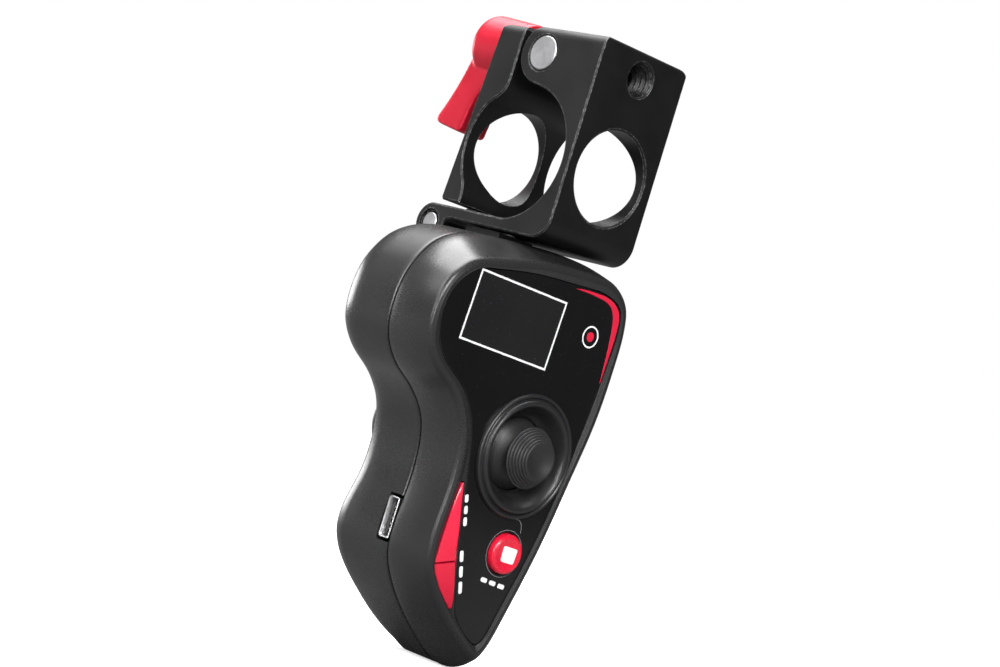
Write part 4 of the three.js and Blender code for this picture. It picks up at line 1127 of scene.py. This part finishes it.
# ---- floor, light and camera
FLOOR_GLOW = (0.55, 1.0)  # near the object and far away, so that the floor stays pale to the horizon
FLOOR_BOUNCE = (0.16, 0.16, 0.16)  # a dark floor as seen by the object, as in a tent with black flags


def stage_floor():
    """A round pale floor just under the object, with faint clouds."""
    low = cad_box[0].z / MM
    angle = np.linspace(0, 2 * math.pi, 96, endpoint=False)
    x, y, z = np.cos(angle), np.sin(angle), np.full(len(angle), low)
    rings = [np.stack([r * x, r * y, z], 1) for r in (0.0, 400, 3000)]
    floor = loft("floor", rings, closed_ends=False)
    weld(floor)
    n = Nodes("floor_pale")
    clouds = n.noise(60, 3)
    tone = n.mix(n.remap(clouds, 0.3, 0.7, 0, 1), (0.86, 0.86, 0.86), (0.90, 0.90, 0.90))
    straight = n.add("ShaderNodeLightPath").outputs["Is Camera Ray"]
    tone = n.mix(straight, FLOOR_BOUNCE, tone)
    n.shader(tone, n.remap(clouds, 0.3, 0.7, 0.75, 0.85), Specular_IOR_Level=0.0)
    surface = n.tree.nodes["Principled BSDF"]
    surface.inputs["Emission Color"].default_value = (1, 1, 1, 1)
    away = n.add("ShaderNodeVectorMath", {0: n.place}, operation="LENGTH").outputs["Value"]
    glow = n.math("MULTIPLY", straight, n.remap(away, 0.25, 1.2, *FLOOR_GLOW))
    n.tree.links.new(glow, surface.inputs["Emission Strength"])
    floor.data.materials.append(n.material)


stage_floor()


def area_light(name, place, size, power):
    """A soft box that faces the middle of the object, seen only by what it lights."""
    data = bpy.data.lights.new(name, "AREA")
    data.shape, data.size, data.size_y = "RECTANGLE", size[0], size[1]
    data.energy = power
    light = new_object(name, data)
    light.location = place
    light.visible_camera = False
    light.rotation_mode = "QUATERNION"
    light.rotation_quaternion = (Vector(OBJECT_MIDDLE) - Vector(place)).to_track_quat("-Z", "Y")


OBJECT_MIDDLE = (0.0, 0.0, -0.035)
area_light("overhead", (0.00, 0.30, 0.85), (0.9, 0.9), 24.0)
area_light("left_box", (-0.75, 0.35, 0.55), (0.4, 0.5), 5.0)
area_light("low_back", (-0.08, 0.80, -0.03), (0.5, 0.3), 4.0)
area_light("left_strip", (-0.90, -0.06, 0.00), (0.25, 0.9), 5.0)
area_light("camera_left", (-0.62, -0.46, 0.02), (0.06, 0.7), 4.2)
area_light("front", (0.17, -0.95, 0.18), (0.25, 0.25), 1.5)
area_light("front_left", (-0.50, -0.80, 0.55), (0.4, 0.4), 11.0)

SKY_SEEN, SKY_ON_OBJECT = 1.0, 0.11  # a white background for the camera, a dim room for the object
world = bpy.data.worlds.new("studio")
bpy.context.scene.world = world
world.use_nodes = True
tree = world.node_tree
tree.nodes.clear()
seen = tree.nodes.new("ShaderNodeLightPath")
blend = tree.nodes.new("ShaderNodeMixShader")
tree.links.new(seen.outputs["Is Camera Ray"], blend.inputs[0])
for socket, strength in ((blend.inputs[1], SKY_ON_OBJECT), (blend.inputs[2], SKY_SEEN)):
    background = tree.nodes.new("ShaderNodeBackground")
    background.inputs["Color"].default_value = (1, 1, 1, 1)
    background.inputs["Strength"].default_value = strength
    tree.links.new(background.outputs[0], socket)
sky = tree.nodes.new("ShaderNodeOutputWorld")
tree.links.new(blend.outputs[0], sky.inputs[0])

CAMERA_PLACE = (-0.34823, -0.35575, -0.04590)
CAMERA_TURN = (91.671, -17.070, -44.802)
camera_data = bpy.data.cameras.new("camera")
camera_data.sensor_width = 36
camera_data.lens = 98.04
camera_data.clip_start, camera_data.clip_end = 0.01, 20
camera = new_object("camera", camera_data)
camera.location = CAMERA_PLACE
camera.rotation_euler = [math.radians(a) for a in CAMERA_TURN]
bpy.context.scene.camera = camera
bpy.context.scene.view_settings.view_transform = "Standard"
